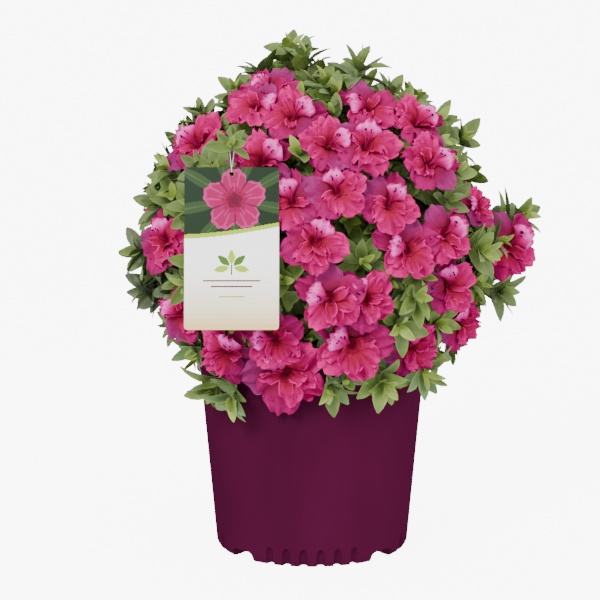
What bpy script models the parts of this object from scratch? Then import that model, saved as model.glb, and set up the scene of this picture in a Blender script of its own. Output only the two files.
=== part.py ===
"""An azalea in flower, standing in its nursery pot.

Sizes are metres and +Z is up.  The origin is the middle of the pot's flat underside, and the
front of the plant faces -Y.  A short main stem stands in the potting mix and forks into boughs.
Each bough carries one mass of foliage: twigs that branch from one stem, whorls of leaves on
them, and double blooms at their tips.  A hang tag hangs from a twig at the front left.
"""

import math
import random

import bmesh
import bpy
from mathutils import Vector

# ---- Clearances and seed ---------------------------------------------------------------------
GAP = 0.0003
SEED = 11

# ---- Nursery pot -----------------------------------------------------------------------------
POT_SIDES = 48
POT_HEIGHT = 0.228
RIM_RADIUS = 0.138
LIP_HEIGHT = 0.014
LIP_DEPTH = 0.004
WALL = 0.002
FLOOR = 0.0125
FOOT_RADIUS = 0.1160
FOOT_HEIGHT = 0.012
BASE_RADIUS = 0.1105
BASE_ROUND = 0.003
RIM_ROUND = 0.0015
LIP_SLOPE = 0.002
DRAIN_ANGLES = (45.0, 135.0, 225.0, 315.0)
DRAIN_HALF_WIDTH = 0.0170
DRAIN_HEIGHT = 0.0112
DRAIN_SQUARENESS = 0.45
DRAIN_DEPTH = 0.034
DRAIN_SIDES = 12

# ---- Potting mix -----------------------------------------------------------------------------
MIX_TOP = 0.205
MIX_CROWN = 0.003
MIX_CROWN_RADIUS = 0.034

# ---- Main stem and boughs --------------------------------------------------------------------
STEM_SIDES = 12
STEM_FOOT = Vector((0.004, 0.002, MIX_TOP + MIX_CROWN + GAP))
STEM_FORK = Vector((0.010, -0.002, 0.264))
STEM_RADIUS = 0.0125
FORK_RADIUS = 0.0085
ROOT_FLARE = 0.009
FLARE_HEIGHT = 0.018
FLARE_LOBES = 5
STEM_SWAY = 0.0015
FOOT_CUT = 0.002
STEM_RINGS = 6
BOUGH_SIDES = 6
BOUGH_STEPS = 3
BOUGH_BASE_RADIUS = 0.0036
BOUGH_TIP_RADIUS = 0.0028
BOUGH_ARCH = 0.006

# ---- Crown -----------------------------------------------------------------------------------
CROWN_CENTRE = Vector((0.006, 0.0, 0.370))
BLOOM_REACH = 0.207
SPRAY_REACH = 0.200
RIGHT_SWELL = 0.10
RIM_OVERHANG = 0.026
SPACE_MARGIN = 0.0004
FORK = Vector((0.009, -0.001, 0.240))
LOWEST_SPRAY = -44.0
LOWEST_BLOOM = -36.0

# ---- Twigs, leaves and blooms ----------------------------------------------------------------
TWIG_RADIUS = 0.0013
TWIG_TAPER = 0.012
STEM_STEP = 0.018
STEM_RADII = (BOUGH_TIP_RADIUS, 0.0026, 0.0023)
MASS_STEM_SIDES = 5
LEAF_LENGTH = 0.051
LEAF_WIDTH = 0.021
LEAF_KEEL = 0.0016
LEAF_DROOP = 0.12
LEAF_SHARES = (1.0, 0.8, 0.6)
LEAF_SCATTER = 12.0
BLOOM_RADIUS = 0.0385
BLOOM_TUBE = 0.028
BLOOM_BODY = 0.030
BLOOM_LEAN = -0.45
SIDE_BLOOM_LEAN = -1.10
BLOOM_LIFT = 0.25
RUFFLE_CREST = (0.016, 0.013)
RUFFLE_DIP = (0.021, 0.007)
CUP_BACK = (0.017, -0.007)
THROAT_DEPTH = 0.002
PETALS = 5
PETAL_TURN = 360.0 / PETALS
LEAF_STEP = 0.004
TWIG_TWIST = 30.0
BUD_LENGTH = 0.006

# ---- Hang tag --------------------------------------------------------------------------------
TAG_WIDTH = 0.099
TAG_HEIGHT = 0.170
TAG_THICKNESS = 0.001
TAG_TOP = Vector((-0.084, -0.192, 0.457))
TAG_LEAN = math.radians(9.0)
TAG_HOLE_RADIUS = 0.0026
TAG_HOLE_DROP = 0.007
LOOP_RADIUS = 0.0008
LOOP_RISE = 0.020
LOOP_LOW_RADIUS = 0.0026
LOOP_SIDES = 5
LOOP_ARC = 5
TAG_CLEARANCE = 0.0015
TAG_LEAF_MARGIN = 0.003
TAG_LEAF_DEPTH = 0.004
LOOP_LEAF_MARGIN = 0.006
TAG_BLOOM_CLEARANCE = 0.012
TAG_SPRAY_CLEARANCE = 0.004
POT_LEAF_MARGIN = 0.002
TAG_NEIGHBOURS = 0.075
TAG_TWIG_END = 0.007
TAG_TWIG_RADIUS = 0.0016

# ---- Masses of foliage: bearing and rise of each one from the fork, in degrees --------------
# Bearings are measured round the plant from its front, positive towards +X.
LOWER_RISE = 20.0
UPPER_RISE = 57.0
MASSES = {
    "foliage_lower_front_left": (-50.0, LOWER_RISE),
    "foliage_lower_front": (-2.0, LOWER_RISE),
    "foliage_lower_front_right": (46.0, LOWER_RISE),
    "foliage_lower_right": (94.0, LOWER_RISE),
    "foliage_lower_back_right": (142.0, LOWER_RISE),
    "foliage_lower_back_left": (192.0, LOWER_RISE),
    "foliage_lower_left": (250.0, LOWER_RISE),
    "foliage_upper_left": (-62.0, UPPER_RISE),
    "foliage_upper_front_left": (-21.0, UPPER_RISE),
    "foliage_upper_front": (17.0, UPPER_RISE),
    "foliage_upper_front_right": (54.0, UPPER_RISE),
    "foliage_upper_right": (104.0, UPPER_RISE),
    "foliage_upper_back_right": (158.0, UPPER_RISE),
    "foliage_upper_back_left": (212.0, UPPER_RISE),
    "foliage_top": (0.0, 90.0),
}
BOUGH_SHARE = {LOWER_RISE: 0.090, UPPER_RISE: 0.120, 90.0: 0.160}
BOUGH_START = {LOWER_RISE: 0.229, UPPER_RISE: 0.245, 90.0: 0.258}
BOUGH_STAGGER = 0.006
BOUGH_CLEARANCE = 0.012

# Blooms on the front, as (bearing, elevation) about the crown's middle, in degrees.
FRONT_BLOOMS = (
    (-29, 58), (-29, 48), (-11, 44), (25, 49), (45, 41),
    (-55, 34), (-20, 28), (4, 33), (17, 32), (41, 26),
    (-8, 15), (6, 18), (23, 14), (61, 11),
    (-58, 1), (-1, 3), (28, 0), (42, 4), (80, -2),
    (4, -14), (15, -15), (46, -12),
    (-54, -23), (-15, -28), (12, -30), (67, -28),
    (-36, -35), (-13, -42), (40, -35),
)
FRONT_BEARING = 70.0
FRONT_ELEVATION = 60.0
# Blooms that are larger or smaller than the rest.
ODD_BLOOMS = {(-13, -42): 1.25, (12, -30): 1.10, (61, 11): 0.68}
# Blooms near the outline, apart from those placed by hand, sit back among the leaves.
EDGE_DEPTH = 0.40
EDGE_SINK = 0.90

# Leafy tips that stand out of the crown, as (bearing, elevation, reach).
LONG_SPRAYS = (
    (-68, 69, 0.202), (-52, 80, 0.217), (-14, 74, 0.214), (33, 66, 0.216), (60, 30, 0.180),
    (93, 5, 0.222), (-80, -17, 0.211), (-80, -4, 0.209), (-70, 12, 0.198),
    (-54, 41, 0.194), (50, 50, 0.192), (74, -15, 0.213), (-70, -29, 0.198), (80, 34, 0.199),
    (-33, -43, 0.222), (4, -43, 0.222), (26, -42, 0.222), (48, -42, 0.216),
    (-7, 31, 0.196),
)
# Where the crown's outline draws in, as (bearing, elevation, spread in degrees, share of reach).
HOLLOWS = (
    (90, 15, 27.0, 0.20), (-90, -43, 34.0, 0.16), (90, -44, 26.0, 0.13), (76, 69, 20.0, 0.15),
    (80, 48, 16.0, 0.03), (-90, 27, 18.0, 0.06), (-90, 59, 20.0, 0.11),
)
# The rest are spots spread evenly over a globe: how many, and the bearing of the first.
BLOOM_SPOTS = 62
BLOOM_TURN = 20.0
BLOOM_SPACING = 0.074
SPRAY_SPOTS = 92
SPRAY_TURN = 75.0
SPRAY_SPACING = 0.0435
INNER_SPOTS = 13
INNER_TURN = 130.0
INNER_REACH = 0.140
INNER_LEAF = 1.2
LOWEST_INNER = -20.0


# ---- Scene and objects -----------------------------------------------------------------------
def clear_scene():
    for thing in list(bpy.data.objects):
        bpy.data.objects.remove(thing, do_unlink=True)


def material(name, colour, roughness, metallic=0.0):
    """A Principled material of one colour."""
    made = bpy.data.materials.new(name)
    made.use_nodes = True
    shader = made.node_tree.nodes["Principled BSDF"]
    shader.inputs["Base Color"].default_value = (*colour, 1.0)
    shader.inputs["Roughness"].default_value = roughness
    shader.inputs["Metallic"].default_value = metallic
    return made


def new_object(name, faces_mesh, finish, collection=None):
    """Turn a bmesh into a named object, with its faces pointing out."""
    bmesh.ops.recalc_face_normals(faces_mesh, faces=faces_mesh.faces)
    mesh = bpy.data.meshes.new(name)
    faces_mesh.to_mesh(mesh)
    faces_mesh.free()
    mesh.materials.append(finish)
    made = bpy.data.objects.new(name, mesh)
    (collection or bpy.context.scene.collection).objects.link(made)
    return made


# ---- Shapes ----------------------------------------------------------------------------------
def bridge(faces_mesh, lower, upper):
    """Join two rings of vertices that go round in step."""
    count = len(lower)
    for i in range(count):
        j = (i + 1) % count
        faces_mesh.faces.new((lower[i], lower[j], upper[j], upper[i]))


def turned(profile, sides):
    """A closed solid of revolution about Z; the profile's two ends are flat discs."""
    made = bmesh.new()
    rings = []
    for radius, height in profile:
        ring = []
        for i in range(sides):
            angle = math.tau * i / sides
            ring.append(made.verts.new((radius * math.cos(angle), radius * math.sin(angle), height)))
        rings.append(ring)
    for lower, upper in zip(rings, rings[1:]):
        bridge(made, lower, upper)
    made.faces.new(rings[0])
    made.faces.new(rings[-1])
    return made


def across(direction):
    """Two unit vectors square to a direction and to each other."""
    helper = Vector((0.0, 0.0, 1.0)) if abs(direction.z) < 0.9 else Vector((1.0, 0.0, 0.0))
    side = direction.cross(helper).normalized()
    return side, side.cross(direction).normalized()


def tube(path, radii, sides, lobes=0, lobe_sizes=None):
    """A closed limb along a path, with one radius at each of its points."""
    made = bmesh.new()
    rings = []
    side = None
    for i, (place, radius) in enumerate(zip(path, radii)):
        along = (path[min(i + 1, len(path) - 1)] - path[max(i - 1, 0)]).normalized()
        if side is None:
            side = across(along)[0]
        side = (side - along * side.dot(along)).normalized()
        other = along.cross(side)
        ring = []
        for k in range(sides):
            angle = math.tau * k / sides
            swell = radius
            if lobes:
                swell += lobe_sizes[i] * (0.5 + 0.5 * math.cos(lobes * angle))
            ring.append(made.verts.new(place + (side * math.cos(angle) + other * math.sin(angle)) * swell))
        rings.append(ring)
    for lower, upper in zip(rings, rings[1:]):
        bridge(made, lower, upper)
    made.faces.new(rings[0])
    made.faces.new(rings[-1])
    return made


def curve_points(start, bend, end, count):
    """Points along a quadratic curve."""
    points = []
    for i in range(count + 1):
        t = i / count
        points.append(start * (1 - t) ** 2 + bend * (2 * t * (1 - t)) + end * t ** 2)
    return points


# ---- Directions and spaces -------------------------------------------------------------------
def heading(bearing, elevation):
    """Unit vector from a bearing, round from the front, and an elevation, both in degrees."""
    turn = math.radians(bearing)
    rise = math.radians(elevation)
    return Vector((math.sin(turn) * math.cos(rise), -math.cos(turn) * math.cos(rise), math.sin(rise)))


def mass_headings():
    return {name: heading(*aim) for name, aim in MASSES.items()}


def home_mass(place, headings):
    """The mass whose space holds a place."""
    away = (place - FORK).normalized()
    return max(headings, key=lambda name: headings[name].dot(away))


def space_planes(name, headings):
    """Planes (point, inward normal) that part a mass from its neighbours, through the fork."""
    own = headings[name]
    return [(FORK, (own - other).normalized()) for key, other in headings.items() if key != name]


def room(place, planes):
    """How far a place lies inside all the planes."""
    return min((place - point).dot(normal) for point, normal in planes)


def pulled_in(anchor, place, planes):
    """The place, drawn back towards its anchor until it is inside every plane."""
    share = 1.0
    for point, normal in planes:
        outside = (place - point).dot(normal)
        inside = (anchor - point).dot(normal)
        if outside < SPACE_MARGIN < inside:
            share = min(share, (inside - SPACE_MARGIN) / (inside - outside))
    return anchor + (place - anchor) * share


def tag_axes():
    """The tag's right, up and outward directions."""
    right = Vector((1.0, 0.0, 0.0))
    up = Vector((0.0, math.sin(TAG_LEAN), math.cos(TAG_LEAN)))
    return right, up, right.cross(up)


def tag_plane():
    """The plane just behind the tag, that the foliage near it stays behind."""
    outward = tag_axes()[2]
    return TAG_TOP - outward * (TAG_THICKNESS / 2 + TAG_CLEARANCE), -outward


def tag_twig_axis():
    return Vector((0.0, -1.0, 0.22)).normalized()


def tag_twig_place():
    """Where the tag's loop goes over its twig."""
    return TAG_TOP + tag_axes()[1] * LOOP_RISE


def beside_tag(place):
    """How far a place is from the tag's rectangle, seen from the front."""
    middle_height = TAG_TOP.z - TAG_HEIGHT / 2
    aside = max(abs(place.x - TAG_TOP.x) - TAG_WIDTH / 2, 0.0)
    above = max(abs(place.z - middle_height) - TAG_HEIGHT / 2, 0.0)
    return math.hypot(aside, above)


def is_clear(place):
    """Whether a leaf may pass through a place: off the pot, its mix and the tag."""
    radius = math.hypot(place.x, place.y)
    if radius < RIM_RADIUS + POT_LEAF_MARGIN and place.z < POT_HEIGHT + POT_LEAF_MARGIN:
        return False
    right, up, outward = tag_axes()
    offset = place - TAG_TOP
    depth = abs(offset.dot(outward))
    drop = -offset.dot(up)
    aside = abs(offset.dot(right))
    over_card = -TAG_LEAF_MARGIN < drop < TAG_HEIGHT + TAG_LEAF_MARGIN
    near_card = depth < TAG_LEAF_DEPTH and over_card and aside < TAG_WIDTH / 2 + TAG_LEAF_MARGIN
    over_loop = -LOOP_RISE - TAG_LEAF_DEPTH < drop < 0.0
    near_loop = over_loop and max(depth, aside) < LOOP_LEAF_MARGIN
    return not near_card and not near_loop


def crown_place(out, reach):
    """A place on the crown, which swells a little to the right at its middle height."""
    swell = RIGHT_SWELL * max(out.x, 0.0) ** 3 * (1.0 - abs(out.z))
    return CROWN_CENTRE + out * reach * (1.0 + swell)


def thinned(out, reach):
    """The reach of a common shoot, shorter where the crown's outline draws in."""
    for bearing, elevation, spread, share in HOLLOWS:
        away = math.degrees(out.angle(heading(bearing, elevation)))
        nearness = max(0.0, 1.0 - away / spread)
        reach *= 1.0 - share * nearness * nearness * (3.0 - 2.0 * nearness)
    return reach


def over_rim(anchor):
    """The anchor, moved out where it hangs so low that it has to clear the pot's rim."""
    radius = math.hypot(anchor.x, anchor.y)
    least = RIM_RADIUS + RIM_OVERHANG
    if anchor.z > POT_HEIGHT + RIM_OVERHANG or radius > least:
        return anchor
    return Vector((anchor.x * least / radius, anchor.y * least / radius, anchor.z))


def globe_spots(count, turn):
    """Even spots on a globe, as (bearing, elevation) in degrees."""
    golden = 180.0 * (3.0 - math.sqrt(5.0))
    spots = []
    for i in range(count):
        elevation = math.degrees(math.asin(1.0 - 2.0 * (i + 0.5) / count))
        bearing = (turn + i * golden + 180.0) % 360.0 - 180.0
        spots.append((bearing, elevation))
    return spots


# ---- Pot and potting mix ---------------------------------------------------------------------
def wall_radius(height):
    """The outside of the pot's straight tapered wall."""
    slope = (RIM_RADIUS - LIP_DEPTH - FOOT_RADIUS) / (POT_HEIGHT - LIP_HEIGHT - FOOT_HEIGHT)
    return FOOT_RADIUS + slope * (height - FOOT_HEIGHT)


def build_pot(finish):
    lip_base = POT_HEIGHT - LIP_HEIGHT
    inner_top = wall_radius(POT_HEIGHT) - WALL
    profile = (
        (BASE_RADIUS, 0.0),
        (BASE_RADIUS + BASE_ROUND, BASE_ROUND / 2),
        (FOOT_RADIUS, FOOT_HEIGHT),
        (wall_radius(lip_base - LIP_SLOPE), lip_base - LIP_SLOPE),
        (RIM_RADIUS, lip_base),
        (RIM_RADIUS, POT_HEIGHT - 2 * RIM_ROUND),
        (RIM_RADIUS - RIM_ROUND, POT_HEIGHT),
        (inner_top, POT_HEIGHT),
        (wall_radius(FLOOR) - WALL, FLOOR),
    )
    pot = new_object("nursery_pot", turned(profile, POT_SIDES), finish)
    cut_drains(pot, finish)
    return pot


def cut_drains(pot, finish):
    """Flat-topped drain openings in the corner between the wall and the floor."""
    arches = bmesh.new()
    up = Vector((0.0, 0.0, 1.0))
    for bearing in DRAIN_ANGLES:
        out = heading(bearing, 0.0)
        aside = out.cross(up)
        ends = []
        for reach in (FOOT_RADIUS - DRAIN_DEPTH, FOOT_RADIUS + FOOT_HEIGHT):
            ring = []
            for i in range(DRAIN_SIDES):
                angle = math.tau * (i + 0.5) / DRAIN_SIDES
                wide = math.copysign(abs(math.cos(angle)) ** DRAIN_SQUARENESS, math.cos(angle))
                tall = math.copysign(abs(math.sin(angle)) ** DRAIN_SQUARENESS, math.sin(angle))
                over = aside * (DRAIN_HALF_WIDTH * wide) + up * (DRAIN_HEIGHT * tall)
                ring.append(arches.verts.new(out * reach + over))
            ends.append(ring)
        bridge(arches, *ends)
        arches.faces.new(ends[0])
        arches.faces.new(ends[1])
    cutter = new_object("drain_cutter", arches, finish)
    cutter.hide_render = True
    cutter.display_type = "WIRE"
    cut = pot.modifiers.new("drains", "BOOLEAN")
    cut.operation = "DIFFERENCE"
    cut.object = cutter


def build_mix(finish):
    """The potting mix fills the pot, a hair clear of its wall and floor."""
    profile = (
        (wall_radius(FLOOR + GAP) - WALL - GAP, FLOOR + GAP),
        (wall_radius(MIX_TOP) - WALL - GAP, MIX_TOP),
        (MIX_CROWN_RADIUS, MIX_TOP + MIX_CROWN),
    )
    return new_object("potting_mix", turned(profile, POT_SIDES), finish)


# ---- Main stem and boughs --------------------------------------------------------------------
def stem_tube(swell=0.0):
    """The main stem, with its root flare; swell grows it on all sides."""
    path = []
    radii = []
    flares = []
    height = (STEM_FORK - STEM_FOOT).length
    for i in range(STEM_RINGS + 1):
        t = i / STEM_RINGS
        sway = Vector((STEM_SWAY * math.sin(math.pi * t), 0.0, 0.0))
        path.append(STEM_FOOT.lerp(STEM_FORK, t) + sway)
        radii.append(STEM_RADIUS + (FORK_RADIUS - STEM_RADIUS) * t + swell)
        flares.append(ROOT_FLARE * max(0.0, 1.0 - t * height / FLARE_HEIGHT) ** 2)
    path[-1] = path[-1] + (path[-1] - path[-2]).normalized() * swell
    return tube(path, radii, STEM_SIDES, FLARE_LOBES, flares)


def build_stem(finish):
    made = stem_tube()
    for vert in made.verts:
        if vert.co.z < STEM_FOOT.z + FOOT_CUT:
            vert.co.z = STEM_FOOT.z
    return new_object("main_stem", made, finish)


def bough_path(name, headings):
    """From inside the main stem to where the bough enters its mass."""
    rise = MASSES[name][1]
    out = headings[name]
    stagger = BOUGH_STAGGER if list(MASSES).index(name) % 2 else -BOUGH_STAGGER
    if rise != UPPER_RISE:
        stagger = 0.0
    start = Vector((FORK.x, FORK.y, BOUGH_START[rise] + stagger))
    end = FORK + out * BOUGH_SHARE[rise]
    bend = start.lerp(end, 0.5) + Vector((out.x, out.y, 0.0)) * BOUGH_ARCH
    return curve_points(start, bend, end, BOUGH_STEPS)


def build_bough(name, headings, collar, finish):
    """One tapering limb, its root cut to sit a hair clear of the main stem."""
    path = bough_path(name, headings)
    radii = []
    for i in range(len(path)):
        t = i / (len(path) - 1)
        radii.append(BOUGH_BASE_RADIUS + (BOUGH_TIP_RADIUS - BOUGH_BASE_RADIUS) * t)
    bough = new_object(name.replace("foliage", "bough"), tube(path, radii, BOUGH_SIDES), finish)
    cut = bough.modifiers.new("seat", "BOOLEAN")
    cut.operation = "DIFFERENCE"
    cut.object = collar
    return path


# ---- Shoots: a twig, its leaves and the bloom or bud at its tip -------------------------------
def leaf_points(root, radial, axis, rise, size):
    """Left edge, right edge, ridge underneath and tip of one keeled leaf."""
    out = (radial * math.cos(rise) + axis * math.sin(rise)).normalized()
    flat = axis.cross(radial).normalized()
    under = flat.cross(out).normalized()
    middle = root + out * LEAF_LENGTH * size * 0.5
    half = flat * LEAF_WIDTH * size / 2
    tip = root + out * LEAF_LENGTH * size + under * LEAF_LENGTH * size * LEAF_DROOP
    return middle - half, middle + half, middle + under * LEAF_KEEL, tip


def limb_distance(place, limb):
    """How far a place is from the middle line of a limb."""
    nearest = []
    for start, end in zip(limb, limb[1:]):
        run = end - start
        share = min(max((place - start).dot(run) / run.length_squared, 0.0), 1.0)
        nearest.append((place - start - run * share).length)
    return min(nearest)


def fitting_leaf(root, radial, axis, rise, size, planes, blooms, bough):
    """The largest leaf that keeps to its space and touches nothing, or None."""
    for share in LEAF_SHARES:
        left, right, ridge, tip = leaf_points(root, radial, axis, rise, size * share)
        samples = (left, right, ridge, tip, ridge.lerp(tip, 0.5), root.lerp(ridge, 0.5))
        inside = min(room(place, planes) for place in samples) > SPACE_MARGIN
        hidden = any((place - bloom).length < BLOOM_BODY for bloom in blooms for place in (ridge, tip))
        off_bough = all(limb_distance(place, bough) > BOUGH_CLEARANCE for place in samples)
        if inside and off_bough and not hidden and all(is_clear(place) for place in samples):
            return left, right, ridge, tip
    return None


def add_leaf(made, lower, upper, points):
    """Grow a leaf out of one side of a twig, between two of its rings."""
    left, right, ridge, tip = (made.verts.new(place) for place in points)
    made.faces.new((upper[0], left, right))
    made.faces.new((upper[0], right, upper[1]))
    made.faces.new((left, tip, right))
    made.faces.new((upper[0], lower[0], left))
    made.faces.new((upper[1], right, lower[1]))
    made.faces.new((lower[0], ridge, left))
    made.faces.new((lower[0], lower[1], ridge))
    made.faces.new((lower[1], right, ridge))
    made.faces.new((left, ridge, tip))
    made.faces.new((ridge, right, tip))


def add_bloom(made, neck, anchor, facing, spin, size, planes):
    """A double bloom of five broad petals round a ruffle, on the last ring of its twig."""
    side = neck[0].co - anchor
    side = (side - facing * side.dot(facing)).normalized()
    other = facing.cross(side)
    rng = random.Random(spin)

    def vertex(radius, angle, height):
        turn = math.radians(angle)
        place = anchor + (side * math.cos(turn) + other * math.sin(turn)) * radius * size
        return made.verts.new(pulled_in(anchor, place + facing * height * size, planes))

    rim = []
    for i in range(PETALS):
        reach = BLOOM_RADIUS * rng.uniform(0.92, 1.06)
        lift = rng.uniform(-0.002, 0.005)
        for share, angle, height in ((0.70, -32.0, -0.002), (1.0, -15.0, lift), (1.0, 17.0, lift + 0.002)):
            rim.append(vertex(reach * share, i * PETAL_TURN + angle, height))
    ruffle = []
    for i in range(PETALS):
        ruffle.append(vertex(RUFFLE_CREST[0], i * PETAL_TURN, RUFFLE_CREST[1]))
        ruffle.append(vertex(RUFFLE_DIP[0], (i + 0.5) * PETAL_TURN, RUFFLE_DIP[1]))
    back = [vertex(CUP_BACK[0], i * PETAL_TURN, CUP_BACK[1]) for i in range(PETALS)]
    centre = made.verts.new(anchor - facing * THROAT_DEPTH)
    beneath = (0, 0, 1, 2, 2)
    for i in range(PETALS):
        j = (i + 1) % PETALS
        notch, left, right = rim[3 * i:3 * i + 3]
        next_notch = rim[3 * j]
        crest, dip, next_crest = ruffle[2 * i], ruffle[2 * i + 1], ruffle[2 * j]
        made.faces.new((centre, crest, dip))
        made.faces.new((centre, dip, next_crest))
        made.faces.new((crest, notch, left))
        made.faces.new((crest, left, right))
        made.faces.new((crest, right, dip))
        made.faces.new((dip, right, next_notch))
        made.faces.new((dip, next_notch, next_crest))
        made.faces.new((back[i], left, notch))
        made.faces.new((back[i], right, left))
        made.faces.new((back[i], next_notch, right))
        made.faces.new((back[i], back[j], next_notch))
        made.faces.new((back[j], back[i], neck[beneath[i]]))
        if beneath[i] != beneath[j]:
            made.faces.new((back[j], neck[beneath[i]], neck[beneath[j]]))


def shoot_mesh(path, root_radius, tip, planes, blooms, bough):
    """A closed shoot: a three-sided twig, leaves on its last stretch, and a bloom or a bud."""
    made = bmesh.new()
    axis = tip.axis
    leafy = [tip.leaf_foot + axis * LEAF_STEP * i for i in range(2 if tip.bloom else 4)]
    places = path + leafy[1:]
    rings = []
    side = None
    turn = math.radians(tip.spin)
    for i, place in enumerate(places):
        along = (places[min(i + 1, len(places) - 1)] - places[max(i - 1, 0)]).normalized()
        if side is None:
            side = across(along)[0]
        side = (side - along * side.dot(along)).normalized()
        other = along.cross(side)
        share = min(i / (len(path) - 1), 1.0)
        radius = root_radius + (TWIG_RADIUS - root_radius) * share
        if i >= len(path):
            turn += math.radians(TWIG_TWIST)
        rings.append([made.verts.new(place + (side * math.cos(turn + math.tau * k / 3)
                                              + other * math.sin(turn + math.tau * k / 3)) * radius)
                      for k in range(3)])
    made.faces.new(rings[0])
    rng = random.Random(tip.spin)
    for number, (lower, upper) in enumerate(zip(rings, rings[1:])):
        step = number - (len(path) - 1)
        middle = sum((vert.co for vert in lower + upper), Vector()) / 6
        for k in range(3):
            j = (k + 1) % 3
            corners = (lower[k], lower[j], upper[k], upper[j])
            radial = sum((vert.co for vert in corners), Vector()) / 4 - middle
            radial = (radial - axis * radial.dot(axis)).normalized()
            rise = math.radians(tip.spread + rng.uniform(-LEAF_SCATTER, LEAF_SCATTER))
            size = tip.leaf_size * rng.uniform(0.88, 1.12)
            leaf = None
            if step in (0, 2):
                leaf = fitting_leaf(middle, radial, axis, rise, size, planes, blooms, bough)
            if leaf:
                add_leaf(made, (lower[k], lower[j]), (upper[k], upper[j]), leaf)
            else:
                made.faces.new((lower[k], lower[j], upper[k]))
                made.faces.new((upper[k], lower[j], upper[j]))
    if tip.bloom:
        add_bloom(made, rings[-1], tip.anchor, axis, tip.spin, tip.size, planes)
    else:
        bud = made.verts.new(places[-1] + axis * BUD_LENGTH)
        for k in range(3):
            made.faces.new((rings[-1][k], rings[-1][(k + 1) % 3], bud))
    return made


# ---- Places of the blooms and leafy tips -----------------------------------------------------
class Tip:
    """Where one shoot ends: its anchor, the way it points, and what grows there."""

    def __init__(self, anchor, axis, spin, bloom=False, leaf_size=1.0, spread=25.0, size=1.0):
        self.anchor = over_rim(anchor)
        self.axis = axis.normalized()
        self.spin = spin
        self.bloom = bloom
        self.leaf_size = leaf_size
        self.spread = spread
        self.size = size

    @property
    def leaf_foot(self):
        """Where the leafy end of the shoot starts."""
        back = BLOOM_TUBE * self.size + LEAF_STEP if self.bloom else 3 * LEAF_STEP
        return self.anchor - self.axis * back


def far_enough(place, others, spacing):
    return all((place - other).length > spacing for other in others)


def bloom_tips():
    """Every bloom: the front ones by hand, the rest spread evenly round the crown."""
    spots = list(FRONT_BLOOMS)
    taken = [heading(*spot) * BLOOM_REACH for spot in spots]
    for bearing, elevation in globe_spots(BLOOM_SPOTS, BLOOM_TURN):
        on_front = abs(bearing) < FRONT_BEARING and elevation < FRONT_ELEVATION
        place = heading(bearing, elevation) * BLOOM_REACH
        if elevation > LOWEST_BLOOM and not on_front and far_enough(place, taken, BLOOM_SPACING):
            spots.append((bearing, elevation))
            taken.append(place)
    rng = random.Random(SEED)
    tips = []
    for number, (bearing, elevation) in enumerate(spots):
        by_hand = (bearing, elevation) in FRONT_BLOOMS
        out = heading(bearing, elevation)
        lean = Vector((0.0, 0.0, BLOOM_LIFT))
        if by_hand:
            lean.y = BLOOM_LEAN if abs(bearing) < FRONT_BEARING else SIDE_BLOOM_LEAN
        reach = BLOOM_REACH * rng.uniform(0.97, 1.02)
        if abs(out.y) < EDGE_DEPTH and not by_hand:
            reach = thinned(out, reach * EDGE_SINK)
        size = rng.uniform(0.94, 1.06) * ODD_BLOOMS.get((bearing, elevation), 1.0)
        tips.append(Tip(crown_place(out, reach), out + lean, 37 * number, bloom=True, spread=8.0,
                        size=size, leaf_size=1.1))
    return tips


def spray_tips(blooms):
    """Every leafy tip: the long ones by hand, the tag's twig, and the rest between the blooms."""
    tips = [tag_tip()]
    for bearing, elevation, reach in LONG_SPRAYS:
        out = heading(bearing, elevation)
        tips.append(Tip(crown_place(out, reach), out, 41 * len(tips)))
    rng = random.Random(SEED + 1)
    for bearing, elevation in globe_spots(SPRAY_SPOTS, SPRAY_TURN):
        out = heading(bearing, elevation)
        anchor = crown_place(out, thinned(out, SPRAY_REACH * rng.uniform(0.90, 1.02)))
        taken = [tip.anchor for tip in blooms + tips]
        if elevation > LOWEST_SPRAY and far_enough(anchor, taken, SPRAY_SPACING):
            tips.append(Tip(anchor, out, 53 * len(tips)))
    for bearing, elevation in globe_spots(INNER_SPOTS, INNER_TURN):
        out = heading(bearing, elevation)
        if elevation > LOWEST_INNER:
            anchor = crown_place(out, INNER_REACH)
            tips.append(Tip(anchor, out, 29 * len(tips), leaf_size=INNER_LEAF, spread=10.0))
    return tips


def tag_tip():
    """The leafy tip of the twig that the tag's loop hangs on."""
    axis = tag_twig_axis()
    return Tip(tag_twig_place() + axis * (TAG_TWIG_END + 3 * LEAF_STEP), axis, 90, leaf_size=0.8, spread=20.0)


# ---- Masses of foliage -----------------------------------------------------------------------
def grow_twigs(stem, tips, planes):
    """A path from the stem to each tip; every twig leaves the nearest point that is there."""
    nodes = list(stem[1:])
    foot = stem[0]
    grown = []
    for tip in sorted(tips, key=lambda tip: (tip.leaf_foot - foot).length):
        end = tip.leaf_foot
        start = min(nodes, key=lambda node: (end - node).length + 0.25 * (node - foot).length)
        bend = pulled_in(end, end - tip.axis * (end - start).length * 0.45, planes)
        path = curve_points(start, bend, end, 2)
        nodes.append(path[1])
        grown.append((tip, path))
    return grown


def tip_planes(tip, planes):
    """A tip's own planes: those of its mass, and the back of the tag where the tag is near."""
    near_tag = beside_tag(tip.anchor) < TAG_NEIGHBOURS and tip.anchor.y < 0.0
    if not near_tag or tip.axis == tag_twig_axis():
        return planes
    own = planes + [tag_plane()]
    clearance = TAG_BLOOM_CLEARANCE if tip.bloom else TAG_SPRAY_CLEARANCE
    tip.anchor = tip.anchor + own[-1][1] * max(0.0, clearance - room(tip.anchor, own[-1:]))
    return own


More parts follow.
